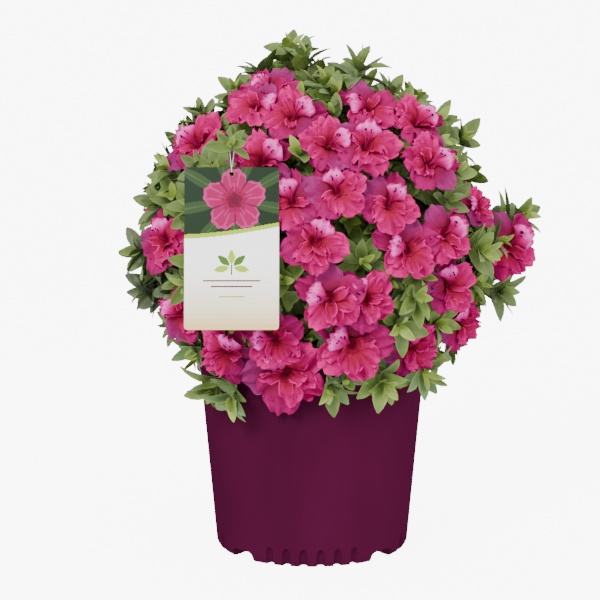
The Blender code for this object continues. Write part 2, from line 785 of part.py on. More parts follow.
def build_mass(name, headings, bough, tips, finish):
    """Fuse one mass: its stem and the shoots that end in its own space."""
    planes = space_planes(name, headings)
    pieces = bpy.data.collections.new(name + "_pieces")
    bpy.context.scene.collection.children.link(pieces)
    along = (bough[-1] - bough[-2]).normalized()
    stem = [bough[-1] + along * GAP, bough[-1] + along * STEM_STEP]
    stem.append(stem[-1] + headings[name] * STEM_STEP)
    own_tips = []
    for tip in tips:
        near_bough = limb_distance(tip.leaf_foot, bough) < 2 * BOUGH_CLEARANCE
        if home_mass(tip.anchor, headings) == name and not near_bough:
            own_tips.append(tip)
    limits = {id(tip): tip_planes(tip, planes) for tip in own_tips}
    blooms = [tip.anchor for tip in own_tips if tip.bloom]
    for number, (tip, path) in enumerate(grow_twigs(stem, own_tips, planes)):
        root_radius = TWIG_RADIUS + TWIG_TAPER * (path[-1] - path[0]).length
        shoot = shoot_mesh(path, root_radius, tip, limits[id(tip)], blooms, bough)
        new_object(f"{name}_piece_{number}", shoot, finish, pieces)
    mass = new_object(name, tube(stem, STEM_RADII, MASS_STEM_SIDES), finish)
    fuse(mass, pieces)
    return mass


def fuse(mass, pieces):
    """Join a mass's pieces into one closed body, and drop loose scraps."""
    join = mass.modifiers.new("fuse", "BOOLEAN")
    join.operation = "UNION"
    join.operand_type = "COLLECTION"
    join.collection = pieces
    join.solver = "MANIFOLD"
    graph = bpy.context.evaluated_depsgraph_get()
    fused = bpy.data.meshes.new_from_object(mass.evaluated_get(graph))
    mass.modifiers.remove(join)
    mass.data = fused
    for thing in list(pieces.objects):
        bpy.data.objects.remove(thing, do_unlink=True)
    bpy.data.collections.remove(pieces)
    keep_main_body(fused)


def keep_main_body(mesh):
    """Leave only the largest connected shell of a mesh."""
    body = bmesh.new()
    body.from_mesh(mesh)
    unseen = set(body.verts)
    shells = []
    while unseen:
        stack = [unseen.pop()]
        shell = set(stack)
        while stack:
            for edge in stack.pop().link_edges:
                for vert in edge.verts:
                    if vert not in shell:
                        shell.add(vert)
                        unseen.discard(vert)
                        stack.append(vert)
        shells.append(shell)
    main = max(shells, key=len)
    for shell in shells:
        if shell is not main:
            bmesh.ops.delete(body, geom=list(shell), context="VERTS")
    bmesh.ops.triangulate(body, faces=body.faces)
    body.to_mesh(mesh)
    body.free()


# ---- Hang tag --------------------------------------------------------------------------------
def build_tag(finish):
    """A flat card with a hole near its top edge."""
    right, up, outward = tag_axes()
    made = bmesh.new()
    half = TAG_WIDTH / 2
    hole_centre = TAG_TOP - up * TAG_HOLE_DROP
    sides = 12
    faces = []
    for depth in (TAG_THICKNESS / 2, -TAG_THICKNESS / 2):
        corners = [made.verts.new(TAG_TOP + right * x - up * drop + outward * depth)
                   for x, drop in ((half, 0.0), (-half, 0.0), (-half, TAG_HEIGHT), (half, TAG_HEIGHT))]
        hole = []
        for i in range(sides):
            angle = math.tau * (i + 0.5) / sides
            hole.append(made.verts.new(hole_centre + right * TAG_HOLE_RADIUS * math.cos(angle)
                                       + up * TAG_HOLE_RADIUS * math.sin(angle) + outward * depth))
        faces.append((corners, hole))
        quarter = sides // 4
        for k in range(4):
            for i in range(k * quarter, (k + 1) * quarter):
                made.faces.new((corners[k], hole[i], hole[(i + 1) % sides]))
            made.faces.new((corners[k], hole[(k + 1) * quarter % sides], corners[(k + 1) % 4]))
    for (front, back) in zip(*faces):
        bridge(made, front, back)
    return new_object("hang_tag", made, finish)


def loop_path():
    """Round the tag's twig above, and through the tag's hole below."""
    right, up, outward = tag_axes()
    over = tag_twig_place()
    top_radius = TAG_TWIG_RADIUS + GAP + LOOP_RADIUS
    low = TAG_TOP - up * (TAG_HOLE_DROP - TAG_HOLE_RADIUS + GAP + LOOP_RADIUS - LOOP_LOW_RADIUS)
    points = []
    for i in range(LOOP_ARC + 1):
        angle = math.pi * i / LOOP_ARC
        crest = Vector((0.0, 0.0, top_radius * math.sin(angle)))
        points.append(over - right * top_radius * math.cos(angle) + crest)
    for i in range(LOOP_ARC + 1):
        angle = math.pi * i / LOOP_ARC
        turned_out = outward * math.cos(angle) + up * math.sin(angle)
        points.append(low - turned_out * LOOP_LOW_RADIUS)
    return points


def build_loop(finish):
    """A thin closed loop of plastic cord."""
    path = loop_path()
    made = bmesh.new()
    rings = []
    count = len(path)
    side = None
    for i, place in enumerate(path):
        along = (path[(i + 1) % count] - path[i - 1]).normalized()
        if side is None:
            side = across(along)[0]
        side = (side - along * side.dot(along)).normalized()
        other = along.cross(side)
        ring = []
        for k in range(LOOP_SIDES):
            angle = math.tau * k / LOOP_SIDES
            away = side * math.cos(angle) + other * math.sin(angle)
            ring.append(made.verts.new(place + away * LOOP_RADIUS))
        rings.append(ring)
    for i in range(count - 1):
        bridge(made, rings[i], rings[i + 1])
    shift = min(range(LOOP_SIDES), key=lambda k: (rings[-1][0].co - rings[0][k].co).length)
    bridge(made, rings[-1], rings[0][shift:] + rings[0][:shift])
    return new_object("tag_loop", made, finish)


# ---- Whole plant -----------------------------------------------------------------------------
def build():
    clear_scene()
    plum = material("plum_plastic", (0.102, 0.014, 0.048), 0.38)
    bark_mix = material("bark_mix", (0.045, 0.028, 0.018), 0.95)
    bark = material("azalea_bark", (0.16, 0.10, 0.065), 0.85)
    foliage = material("azalea_foliage", (0.15, 0.27, 0.07), 0.55)
    card = material("printed_card", (0.86, 0.84, 0.78), 0.45)
    cord = material("loop_plastic", (0.88, 0.88, 0.85), 0.40)
    build_pot(plum)
    build_mix(bark_mix)
    build_stem(bark)
    collar = new_object("collar_cutter", stem_tube(GAP), bark)
    collar.hide_render = True
    collar.display_type = "WIRE"
    headings = mass_headings()
    blooms = bloom_tips()
    tips = blooms + spray_tips(blooms)
    for name in MASSES:
        path = build_bough(name, headings, collar, bark)
        build_mass(name, headings, path, tips, foliage)
    build_tag(card)
    build_loop(cord)


build()
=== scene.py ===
"""The azalea's looks: bark, leaves, double blooms, bark mix, moulded pot and printed tag.

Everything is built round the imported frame, in metres, with +Z up and the front towards -Y.
Twigs grow on from the boughs by the same rule as the solids, and go on to finer twigs.
"""

import random
from dataclasses import dataclass
from math import asin, atan2, copysign, cos, degrees, hypot, pi, radians, sin, sqrt, tau

import bmesh
import bpy
import numpy as np
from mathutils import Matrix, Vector


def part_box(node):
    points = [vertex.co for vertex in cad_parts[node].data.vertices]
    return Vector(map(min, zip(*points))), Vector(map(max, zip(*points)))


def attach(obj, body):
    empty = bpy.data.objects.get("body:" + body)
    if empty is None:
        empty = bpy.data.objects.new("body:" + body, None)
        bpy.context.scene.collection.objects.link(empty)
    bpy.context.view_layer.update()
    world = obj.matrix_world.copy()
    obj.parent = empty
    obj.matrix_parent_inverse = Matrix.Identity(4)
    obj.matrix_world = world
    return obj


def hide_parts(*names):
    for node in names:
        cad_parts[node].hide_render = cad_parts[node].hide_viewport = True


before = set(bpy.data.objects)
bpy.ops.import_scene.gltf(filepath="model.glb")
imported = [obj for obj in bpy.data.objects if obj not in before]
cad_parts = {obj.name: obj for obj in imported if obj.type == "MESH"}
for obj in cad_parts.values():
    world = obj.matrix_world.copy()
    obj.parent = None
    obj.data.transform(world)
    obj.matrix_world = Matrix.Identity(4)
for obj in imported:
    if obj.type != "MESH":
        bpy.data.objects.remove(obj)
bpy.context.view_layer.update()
SEED = 11
UP = Vector((0.0, 0.0, 1.0))

# ---- Sizes read from the frame ----
POT_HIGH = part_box("nursery_pot")[1]
MIX_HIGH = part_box("potting_mix")[1]
TAG_LOW, TAG_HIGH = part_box("hang_tag")
LOOP_LOW, LOOP_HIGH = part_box("tag_loop")
STEM_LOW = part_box("main_stem")[0]
POT_HEIGHT = POT_HIGH.z
RIM_RADIUS = POT_HIGH.x

# ---- Pot, as in the solids ----
LIP_HEIGHT = 0.014
LIP_DEPTH = 0.004
LIP_ROUND = 0.002
LIP_HALF = 0.0022
LIP_SWELL = 0.0003
WALL = 0.002
MIX_TOP = 0.205
FOOT_RADIUS = 0.1160
FOOT_HEIGHT = 0.012
FOOT_RING = 0.009
BASE_RADIUS = 0.1105
BASE_HOLLOW = 0.0006
BASE_STEP = 0.003
HUB_RADIUS = 0.0005
FLOOR_DEPTH = 0.021
RIM_ROUND = 0.0015
POT_SIDES = 720
POT_CLEARANCE = 0.002
DRAIN_BEARINGS = (45.0, 135.0, 225.0, 315.0)
DRAIN_HALF_WIDTH = 0.0170
DRAIN_HEIGHT = 0.0112
DRAIN_SQUARENESS = 0.45
DRAIN_DEPTH = 0.034
DRAIN_SIDES = 28
FLUTE_OFFSETS = (-24.8, -14.8, -5.0, 5.0, 14.8, 24.8)
FLUTE_WIDTH = 0.0046
FLUTE_HEIGHT = 0.017
FLUTE_DEPTH = 0.0042
FLUTE_ARCH = 0.55
FLUTE_LIFT = 0.22

# ---- Stem and boughs, as in the solids ----
STEM_FOOT = Vector((0.004, 0.002, STEM_LOW.z))
STEM_FORK = Vector((0.010, -0.002, 0.264))
STEM_RADIUS = 0.0125
FORK_RADIUS = 0.0085
ROOT_FLARE = 0.009
FLARE_HEIGHT = 0.018
FLARE_LOBES = 5
STEM_SWAY = 0.0015
STEM_STEPS = 26
STEM_SIDES = 48
STEM_BARK = (0.0008, 11)
BOUGH_BASE_RADIUS = 0.0042
BOUGH_TIP_RADIUS = 0.0028
BOUGH_ARCH = 0.006
BOUGH_STAGGER = 0.006
BOUGH_SIDES = 20
BOUGH_BARK = (0.00035, 7)

# ---- Crown, as in the solids ----
CROWN_CENTRE = Vector((0.006, 0.0, 0.370))
BLOOM_REACH = 0.207
BLOOM_REACHES = (0.97, 1.02)
SPRAY_REACH = 0.200
SPRAY_REACHES = (0.90, 1.02)
RIGHT_SWELL = 0.10
RIM_OVERHANG = 0.026
FORK = Vector((0.009, -0.001, 0.240))
LOWEST_SPRAY = -44.0
LOWEST_BLOOM = -36.0
LOWER_RISE = 20.0
UPPER_RISE = 57.0
TOP_RISE = 90.0
LOWER_BEARINGS = {"front_left": -50.0, "front": -2.0, "front_right": 46.0, "right": 94.0,
                  "back_right": 142.0, "back_left": 192.0, "left": 250.0}
UPPER_BEARINGS = {"left": -62.0, "front_left": -21.0, "front": 17.0, "front_right": 54.0,
                  "right": 104.0, "back_right": 158.0, "back_left": 212.0}
# Each mass of foliage, as (bearing, elevation) from the fork.
MASSES = {f"foliage_lower_{side}": (bearing, LOWER_RISE) for side, bearing in LOWER_BEARINGS.items()}
MASSES |= {f"foliage_upper_{side}": (bearing, UPPER_RISE) for side, bearing in UPPER_BEARINGS.items()}
MASSES["foliage_top"] = (0.0, TOP_RISE)
MASS_NAMES = list(MASSES)
BOUGH_SHARE = {LOWER_RISE: 0.090, UPPER_RISE: 0.120, TOP_RISE: 0.160}
BOUGH_START = {LOWER_RISE: 0.229, UPPER_RISE: 0.245, TOP_RISE: 0.258}

# Blooms on the front, as (bearing, elevation) about the crown's middle, in degrees.
FRONT_BLOOMS = (
    (-29, 58), (-29, 48), (-11, 44), (25, 49), (45, 41),
    (-55, 34), (-20, 28), (4, 33), (17, 32), (41, 26),
    (-8, 15), (6, 18), (23, 14), (61, 11),
    (-58, 1), (-1, 3), (28, 0), (42, 4), (80, -2),
    (4, -14), (15, -15), (46, -12),
    (-54, -23), (-15, -28), (12, -30), (67, -28),
    (-36, -35), (-13, -42), (40, -35),
)
FRONT_BEARING = 70.0
FRONT_ELEVATION = 60.0
# Leafy ends that shape the crown's outline, as (bearing, elevation, reach).
LONG_SPRAYS = (
    (-68, 69, 0.202), (-52, 80, 0.217), (-14, 74, 0.214), (33, 66, 0.216), (60, 30, 0.180),
    (93, 5, 0.222), (-80, -17, 0.211), (-80, -4, 0.209), (-70, 12, 0.198),
    (-54, 41, 0.194), (50, 50, 0.192), (74, -15, 0.213), (-70, -29, 0.198), (80, 34, 0.199),
    (-33, -43, 0.222), (4, -43, 0.222), (26, -42, 0.222), (48, -42, 0.216),
    (-7, 31, 0.196),
)
LONG_SIZE = 1.02
# Where the outline draws in, as (bearing, elevation, spread in degrees, share of the reach).
HOLLOWS = (
    (90, 15, 27.0, 0.20), (-90, -43, 34.0, 0.16), (90, -44, 26.0, 0.13), (76, 69, 20.0, 0.15),
    (80, 48, 16.0, 0.03), (-90, 27, 18.0, 0.06), (-90, 59, 20.0, 0.11),
)
BLOOM_SPOTS = 62
BLOOM_TURN = 20.0
BLOOM_SPACING = 0.074
SPRAY_SPOTS = 92
SPRAY_TURN = 75.0
SPRAY_SPACING = 0.0435
BLOOM_TUBE = 0.028
BLOOM_NECK = 0.004
LEAFY_END = 0.012
EDGE_DEPTH = 0.40
EDGE_SINK = 0.90

# ---- Blooms' sizes and turns, which differ a little from the solids' ----
BLOOM_SCALE = 0.90
BLOOM_SIZES = (0.94, 1.06)
ODD_BLOOMS = {(-13, -42): 1.22, (12, -30): 1.06, (61, 11): 0.62, (-55, 34): 1.06, (80, -2): 1.02}
BLOOM_LEAN = 0.45
SIDE_BLOOM_LEAN = 1.40
BLOOM_LIFT = 0.25

# ---- Finer twigs, which the solids leave out ----
FINE_SPOTS = 640
FINE_TURN = 40.0
FINE_SPACING = 0.020
FINE_SWAY = 3.0
FULL_SHARE = 0.6
AXIS_SWAY = 0.3
AXIS_RISE = (-0.1, 0.4)
FINE_REACH = (0.93, 1.03)
FINE_SIZES = (0.86, 1.08)
LOW_REACH = (0.80, 0.94)
RIM_SPOTS = 52
RIM_SPACING = 0.016
RIM_SWAY = 4.0
RIM_RISE = (-1.0, 4.0)
RIM_DROOP = (-0.8, 0.0)
RIM_SIDE = 0.50
SIDE_ELEVATION = -32.0
SIDE_REACH = (0.155, 0.172)
RIM_REACH = (0.198, 0.216)
RIM_SIZES = (0.96, 1.14)
# Leafy ends that hang over the rim in front, as (bearing, distance from the axis, height).
HANGING = ((-42, 0.158, 0.207), (-33, 0.160, 0.201), (-5, 0.160, 0.190))
HANGING_FALL = -50.0
HANGING_SIZE = 1.10
INNER_SPOTS = 170
INNER_TURN = 130.0
INNER_REACH = (0.115, 0.150)
INNER_SIZES = (0.9, 1.1)
INNER_LIFT = 0.2
INNER_LOWEST = -20.0
BEHIND_BLOOM = 0.037
BEHIND_REACH = (0.150, 0.168)
FRONT_LEAN = Vector((0.0, -0.35, 0.15))
SIDE_LEAN = Vector((0.0, -0.55, 0.20))
MASS_STEM_STEP = 0.018
MASS_STEM_END = 0.0021
MASS_STEM_SIDES = 10
MASS_STEM_BARK = (0.0002, 6)
TWIG_RADIUS = 0.0010
TWIG_TAPER = 0.012
TWIG_END = 0.7
FINE_TAPER = 0.6
TWIG_SIDES = 6
TWIG_STEPS = 6
TWIG_BEND = 0.45
FOOT_PULL = 0.25

# ---- Leaves ----
LEAF_LENGTH = 0.038
LEAF_WIDTH = 0.0160
LEAF_ROWS = (0.0, 0.10, 0.26, 0.46, 0.66, 0.84, 1.0)
LEAF_COLUMNS = (-1.0, -0.74, 0.0, 0.74, 1.0)
SLIM_ROWS = (0.0, 0.16, 0.42, 0.72, 1.0)
SLIM_COLUMNS = (-1.0, 0.0, 1.0)
LEAF_VARIANTS = 8
LEAF_FOLD = (0.18, 0.48)
LEAF_CURL = (-0.04, 0.26)
LEAF_SWAY = 0.07
LEAF_RIPPLE = 0.0009
LEAF_BELLY = 0.55
LEAF_SIZES = (0.82, 1.14)
LEAF_SHIFT = 0.0015
LEAF_TILT = 14.0
LEAF_ROLL = 0.7
WHORL_SWAY = 0.16
WHORL_TURN = 0.5

# ---- Blooms ----
BLOOM_VARIANTS = 9
BLOOM_SPIN = (5.0, 80.0)
THROAT_RADIUS = 0.0035
THROAT_DEPTH = 0.016
PETAL_BROADEST = 0.62
PETAL_LENGTHS = (0.94, 1.06)
PETAL_WIDTHS = (0.93, 1.07)
FLARE_SWAY = 6.0
VEIN_HEIGHT = 0.00016
MIDRIB_DEPTH = 0.0010
FRINGE_DEPTH = 0.0013
STREAK = 0.08
PETAL_MARGIN = (0.82, 0.95)
STAMENS = 5
STAMEN_SIDE = 95.0
STAMEN_FAN = 24.0
STAMEN_REACH = (0.011, 0.018)
STAMEN_RISE = (0.005, 0.009)
# What a bloom keeps clear of leaves, round its petals and round its throat: radius, low, high.
BLOOM_SPACES = ((0.037, -0.006, 0.014), (0.013, -0.024, 0.026))
BUD_VARIANTS = 3
BUD_SHARE = 0.06
BUD_LENGTH = 0.022
BUD_SEAT = 0.002
BUD_BEND = 0.002
BUD_WRAP = 0.0008
BUD_SCALE = 0.8
SHOOT_END = 0.008
STEEP_RISE = 55.0
OTHER_TONE_SHARE = 0.22
# Where the leaves at the lower left are painted greyer as shade, and where the fresher low ones start,
# from the crown's middle.
SHADED_LEFT = -0.15
SHADED_TOP = 0.03
LOW_LEAVES = -0.09

# ---- Camera ----
CAMERA_PLACE = (0.0, -1.7, 0.5036)
CAMERA_PITCH = 7.05
CAMERA_LENS = 86.1
CAMERA_SENSOR = 36.0
CAMERA_SHIFT = -0.02

# ---- Stage and light ----
STAGE_FLAT = 3.4
STAGE_SWEEP = 1.4
STAGE_HEIGHT = 6.0
STAGE_STEPS = 12
STAGE_SIDES = 96
STAGE_DROP = 0.0002
SKY_STRENGTH = 1.75
FLOOR_GLOW = 7.0
KEY_PLACE = (-1.2, -2.2, 1.8)
KEY_SIZE = 1.0
KEY_POWER = 84.0
FILL_PLACE = (1.8, -1.6, 1.0)
FILL_SIZE = 1.2
FILL_POWER = 18.0
LIGHT_AIM = Vector((0.0, 0.0, 0.33))


# ---- Vectors and frames ----
def heading(bearing, elevation):
    """Unit vector from a bearing, round from the front, and an elevation, both in degrees."""
    turn = radians(bearing)
    rise = radians(elevation)
    return Vector((sin(turn) * cos(rise), -cos(turn) * cos(rise), sin(rise)))


def across(direction):
    """Two unit vectors square to a direction and to each other."""
    helper = UP if abs(direction.z) < 0.9 else Vector((1.0, 0.0, 0.0))
    side = direction.cross(helper).normalized()
    return side, side.cross(direction).normalized()


def sway(rng, most):
    """A random amount either way, up to most."""
    return rng.uniform(-most, most)


def smooth(value):
    """A step from 0 to 1 with soft ends."""
    held = np.clip(value, 0.0, 1.0)
    return held * held * (3.0 - 2.0 * held)


def turns(count, first=0.0):
    """Even angles round a circle, in radians."""
    return (np.arange(count) + first) * tau / count


def curve_points(start, bend, end, count):
    """Points along a quadratic curve."""
    points = []
    for i in range(count + 1):
        t = i / count
        points.append(start * (1 - t) ** 2 + bend * (2 * t * (1 - t)) + end * t ** 2)
    return points


def globe_spots(count, turn):
    """Even spots on a globe, as (bearing, elevation) in degrees."""
    golden = 180.0 * (3.0 - sqrt(5.0))
    spots = []
    for i in range(count):
        elevation = degrees(asin(1.0 - 2.0 * (i + 0.5) / count))
        bearing = (turn + i * golden + 180.0) % 360.0 - 180.0
        spots.append((bearing, elevation))
    return spots


# ---- Meshes from many small shapes ----
class Shape:
    """Points, four-sided faces and a material number for each face."""

    def __init__(self, points, faces, slots):
        self.points = np.asarray(points, float).reshape(-1, 3)
        self.faces = np.asarray(faces, int).reshape(-1, 4)
        self.slots = np.broadcast_to(slots, len(self.faces)).astype(int)


class Heap:
    """Shapes of one kind, gathered into one mesh."""

    def __init__(self):
        self.points = []
        self.faces = []
        self.slots = []
        self.count = 0

    def add(self, shape, turn=None, place=None, scale=1.0, slot_map=None):
        """Adds a shape, scaled, turned and put in place; slot_map gives its materials new numbers."""
        points = shape.points * scale
        if turn is not None:
            points = points @ np.asarray(turn).T
        if place is not None:
            points = points + np.asarray(place)
        self.points.append(points)
        self.faces.append(shape.faces + self.count)
        self.slots.append(shape.slots if slot_map is None else np.asarray(slot_map)[shape.slots])
        self.count += len(points)

    def shape(self):
        """Everything in the heap as one shape."""
        return Shape(np.concatenate(self.points), np.concatenate(self.faces), np.concatenate(self.slots))

    def build(self, name, finishes):
        """One smooth-shaded mesh object, with one material for each slot."""
        whole = self.shape()
        mesh = bpy.data.meshes.new(name)
        mesh.from_pydata(whole.points, [], whole.faces)
        mesh.polygons.foreach_set("material_index", whole.slots.astype(np.int32))
        mesh.shade_smooth()
        return dressed(name, mesh, finishes)


def placed(name, data):
    """A new object of the scene."""
    made = bpy.data.objects.new(name, data)
    bpy.context.scene.collection.objects.link(made)
    return made


def dressed(name, mesh, finishes):
    """A new object of the scene with its materials."""
    for finish in finishes:
        mesh.materials.append(finish)
    return placed(name, mesh)


def piece_from(made, name, finishes):
    """A new object from a bmesh, which is used up, with its faces turned outwards."""
    bmesh.ops.recalc_face_normals(made, faces=made.faces)
    mesh = bpy.data.meshes.new(name)
    made.to_mesh(mesh)
    made.free()
    return dressed(name, mesh, finishes)


def add_skin(made, rings, lids):
    """Faces between closed rings of vertices, and a lid on each ring in lids."""
    for lower, upper in zip(rings, rings[1:]):
        for i in range(len(lower)):
            j = (i + 1) % len(lower)
            made.faces.new((lower[i], lower[j], upper[j], upper[i]))
    for lid in lids:
        made.faces.new(lid)


def grid_faces(rows, columns, closed=False):
    """Faces of a grid of points; a closed grid joins its last column to its first."""
    wide = columns if closed else columns + 1
    i, j = np.divmod(np.arange(rows * columns), columns)
    k = (j + 1) % wide
    return np.stack([i * wide + j, i * wide + k, (i + 1) * wide + k, (i + 1) * wide + j], axis=1)


def tube(path, radii, sides, slots=0, relief=None):
    """A limb along a path.  relief(i, angles) gives each ring's extra radius."""
    rings = []
    side = None
    angles = turns(sides)
    for i, (place, radius) in enumerate(zip(path, radii)):
        along = (path[min(i + 1, len(path) - 1)] - path[max(i - 1, 0)]).normalized()
        if side is None:
            side = across(along)[0]
        side = (side - along * side.dot(along)).normalized()
        other = along.cross(side)
        reach = radius + (relief(i, angles) if relief else 0.0)
        round_about = np.outer(np.cos(angles), side) + np.outer(np.sin(angles), other)
        rings.append(np.array(place) + round_about * np.reshape(reach * np.ones(sides), (-1, 1)))
    faces = grid_faces(len(path) - 1, sides, closed=True)
    if np.ndim(slots):
        slots = np.repeat(slots, sides)
    return Shape(np.concatenate(rings), faces, slots)


# ---- Materials ----
GLOSS_SPREAD = 0.06
RELIEF_DEPTH = 0.001


def surface(name, colour, roughness, mottle=0.15, scale=60.0, bump=0.0, bump_scale=400.0,
            sheen=0.0, specular=0.5, stretch=1.0):
    """A Principled material whose colour is mottled by noise, with a fine relief."""
    made = bpy.data.materials.new(name)
    made.use_nodes = True
    nodes = made.node_tree.nodes
    links = made.node_tree.links
    shader = nodes["Principled BSDF"]
    shader.inputs["Specular IOR Level"].default_value = specular
    shader.inputs["Sheen Weight"].default_value = sheen
    place = nodes.new("ShaderNodeTexCoord")
    noise = nodes.new("ShaderNodeTexNoise")
    noise.inputs["Scale"].default_value = scale
    noise.inputs["Detail"].default_value = 4.0
    drawn = nodes.new("ShaderNodeMapping")
    drawn.inputs["Scale"].default_value = (1.0, 1.0, stretch)
    links.new(place.outputs["Object"], drawn.inputs["Vector"])
    links.new(drawn.outputs["Vector"], noise.inputs["Vector"])
    ramp = nodes.new("ShaderNodeValToRGB")
    for stop, where, share in zip(ramp.color_ramp.elements, (0.3, 0.7), (1.0 - mottle, 1.0 + mottle)):
        stop.position = where
        stop.color = (*(min(c * share, 1.0) for c in colour), 1.0)
    links.new(noise.outputs["Fac"], ramp.inputs["Fac"])
    links.new(ramp.outputs["Color"], shader.inputs["Base Color"])
    gloss = nodes.new("ShaderNodeMapRange")
    gloss.inputs["To Min"].default_value = roughness - GLOSS_SPREAD
    gloss.inputs["To Max"].default_value = min(roughness + GLOSS_SPREAD, 1.0)
    links.new(noise.outputs["Fac"], gloss.inputs["Value"])
    links.new(gloss.outputs["Result"], shader.inputs["Roughness"])
    if bump:
        grain = nodes.new("ShaderNodeTexNoise")
        grain.inputs["Scale"].default_value = bump_scale
        grain.inputs["Detail"].default_value = 3.0
        links.new(place.outputs["Object"], grain.inputs["Vector"])
        relief = nodes.new("ShaderNodeBump")
        relief.inputs["Strength"].default_value = bump
        relief.inputs["Distance"].default_value = RELIEF_DEPTH
        links.new(grain.outputs["Fac"], relief.inputs["Height"])
        links.new(relief.outputs["Normal"], shader.inputs["Normal"])
    return made


LEAF_TONES = {
    "light": (0.113, 0.176, 0.028),
    "fresh": (0.108, 0.184, 0.056),
    "mid": (0.082, 0.130, 0.021),
    "dark": (0.074, 0.114, 0.023),
    "grey": (0.054, 0.077, 0.028),
    "young": (0.176, 0.248, 0.036),
}
MARGIN_LIFT = 1.24
MARGIN_ADD = 0.012


def leaf_finishes():
    """For each tone, the blade and its paler margin."""
    made = []
    for tone, colour in LEAF_TONES.items():
        pale = tuple(c * MARGIN_LIFT + MARGIN_ADD for c in colour)
        made.append(surface(f"leaf_{tone}", colour, 0.50, 0.28, 70.0, 0.3, 900.0, 0.05, 0.32))
        made.append(surface(f"leaf_{tone}_margin", pale, 0.52, 0.18, 70.0, 0.2, 900.0, 0.0, 0.28))
    return made


# For each kind of petal, its count of tones and their stops from throat to rim.
PETAL_RAMPS = {
    "hot": (9, ((0.200, 0.008, 0.028), (0.265, 0.008, 0.040), (0.305, 0.005, 0.068),
                (0.350, 0.004, 0.098), (0.520, 0.011, 0.158))),
    # Painted reflection: this purple ramp stands in for the sky's sheen on smooth petals that lean back.
    "violet_sheen": (7, ((0.150, 0.008, 0.028), (0.168, 0.009, 0.050), (0.188, 0.012, 0.078),
                   (0.222, 0.022, 0.114))),
    "rose": (6, ((0.165, 0.008, 0.028), (0.205, 0.008, 0.048), (0.238, 0.006, 0.070),
                 (0.275, 0.008, 0.096))),
    "pale": (8, ((0.240, 0.007, 0.042), (0.340, 0.007, 0.092), (0.430, 0.011, 0.152),
                 (0.530, 0.032, 0.252), (0.700, 0.095, 0.405))),
}
PLAIN_TONES = {"anther": (0.020, 0.003, 0.010), "calyx": (0.090, 0.150, 0.030)}


def petal_tones():
    """Every tone by name: each ramp's steps from throat to rim, and the plain ones."""
    tones = {}
    for name, (count, stops) in PETAL_RAMPS.items():
        for i, where in enumerate(np.linspace(0.0, len(stops) - 1.0, count)):
            tones[f"{name}_{i}"] = tuple(np.interp(where, range(len(stops)), part) for part in zip(*stops))
    return tones | PLAIN_TONES


PETAL_TONES = petal_tones()
PETAL_SLOT = {name: i for i, name in enumerate(PETAL_TONES)}


def petal_finishes():
    """One material for each tone of the blooms."""
    return [surface(f"petal_{tone}", colour, 0.60, 0.10, 150.0, 0.25, 1500.0, specular=0.0)
            for tone, colour in PETAL_TONES.items()]


# ---- Petals and blooms ----
@dataclass
class PetalKind:
    """Sizes of one kind of petal, in metres and degrees.

    lean and flare are its angles from the bloom's axis at its root and at its tip, and opening is
    the share of its length where it bends from one to the other.  wave is the height of its broad
    waves, frill that of the small ones along its edge, cup lifts its sides, and root raises it all.
    cells is the count of its faces each way.
    """

    length: float
    width: float
    lean: float
    flare: float
    opening: float
    wave: float
    frill: float
    cup: float
    twist: float = 0.0
    root: float = 0.0
    cells: int = 14


def petal(rng, kind, angle, ramp, low, high, rim):
    """One petal rooted in the throat, with tones of a ramp from its share low to its share high.

    rim is how far up the ramp the petal's edge goes.
    """
    cells = kind.cells
    length = kind.length * rng.uniform(*PETAL_LENGTHS)
    half = kind.width / 2 * rng.uniform(*PETAL_WIDTHS)
    u = np.linspace(0.0, 1.0, cells + 1)[:, None]
    v = np.linspace(-1.0, 1.0, cells + 1)[None, :]
    bend = smooth((u - kind.opening) / 0.5 + 0.5)
    flare = kind.flare + sway(rng, FLARE_SWAY)
    tilt = np.radians(kind.lean + (flare - kind.lean) * bend)
    step = length / cells
    out = THROAT_RADIUS + np.cumsum(np.sin(tilt), axis=0) * step
    rise = np.cumsum(np.cos(tilt), axis=0) * step - THROAT_DEPTH + kind.root
    swell = np.sin(np.clip(u / PETAL_BROADEST, 0.0, 1.0) * pi / 2) ** 1.3
    past = np.clip((u - PETAL_BROADEST) / (1.03 - PETAL_BROADEST), 0.0, 1.0)
    broad = (0.20 + 0.80 * swell) * np.sqrt(1.0 - 0.80 * past ** 2.4)
    open_part = smooth((u - 0.22) / 0.6)
    phase = [rng.uniform(0.0, tau) for _ in range(5)]
    wave = kind.wave * open_part * (0.55 * np.sin(v * rng.uniform(2.6, 3.8) + phase[0] + 1.2 * u)
                                    + 0.45 * np.sin(v * rng.uniform(6.2, 8.4) + phase[1] - 2.4 * u))
    frill = kind.frill * open_part * (np.abs(v) ** 3 * np.sin(u * rng.uniform(12.0, 17.0) + phase[2] + v)
                                      + u ** 5 * np.sin(v * rng.uniform(8.0, 11.0) + phase[3]))
    veins = VEIN_HEIGHT * open_part * np.cos(np.arange(cells + 1) * pi)[None, :]
    midrib = MIDRIB_DEPTH * open_part * np.exp(-(v / 0.18) ** 2)
    lift = wave + frill + veins + kind.cup * v ** 2 * broad - midrib
    notches = FRINGE_DEPTH * u ** 3 * np.sin(v * rng.uniform(6.0, 9.0) + phase[4])
    fringe = notches - 0.11 * length * v ** 2 * u ** 4
    turned = radians(kind.twist * sway(rng, 1.0)) * u
    x = v * half * broad * np.cos(turned)
    lift = lift + v * half * broad * np.sin(turned)
    radial = out + fringe * np.sin(tilt) - lift * np.cos(tilt)
    height = rise + fringe * np.cos(tilt) + lift * np.sin(tilt)
    turn = radians(angle)
    points = np.stack([radial * cos(turn) - x * sin(turn),
                       radial * sin(turn) + x * cos(turn), height], axis=-1)
    return Shape(points, grid_faces(cells, cells), petal_slots(rng, cells, ramp, low, high, rim))


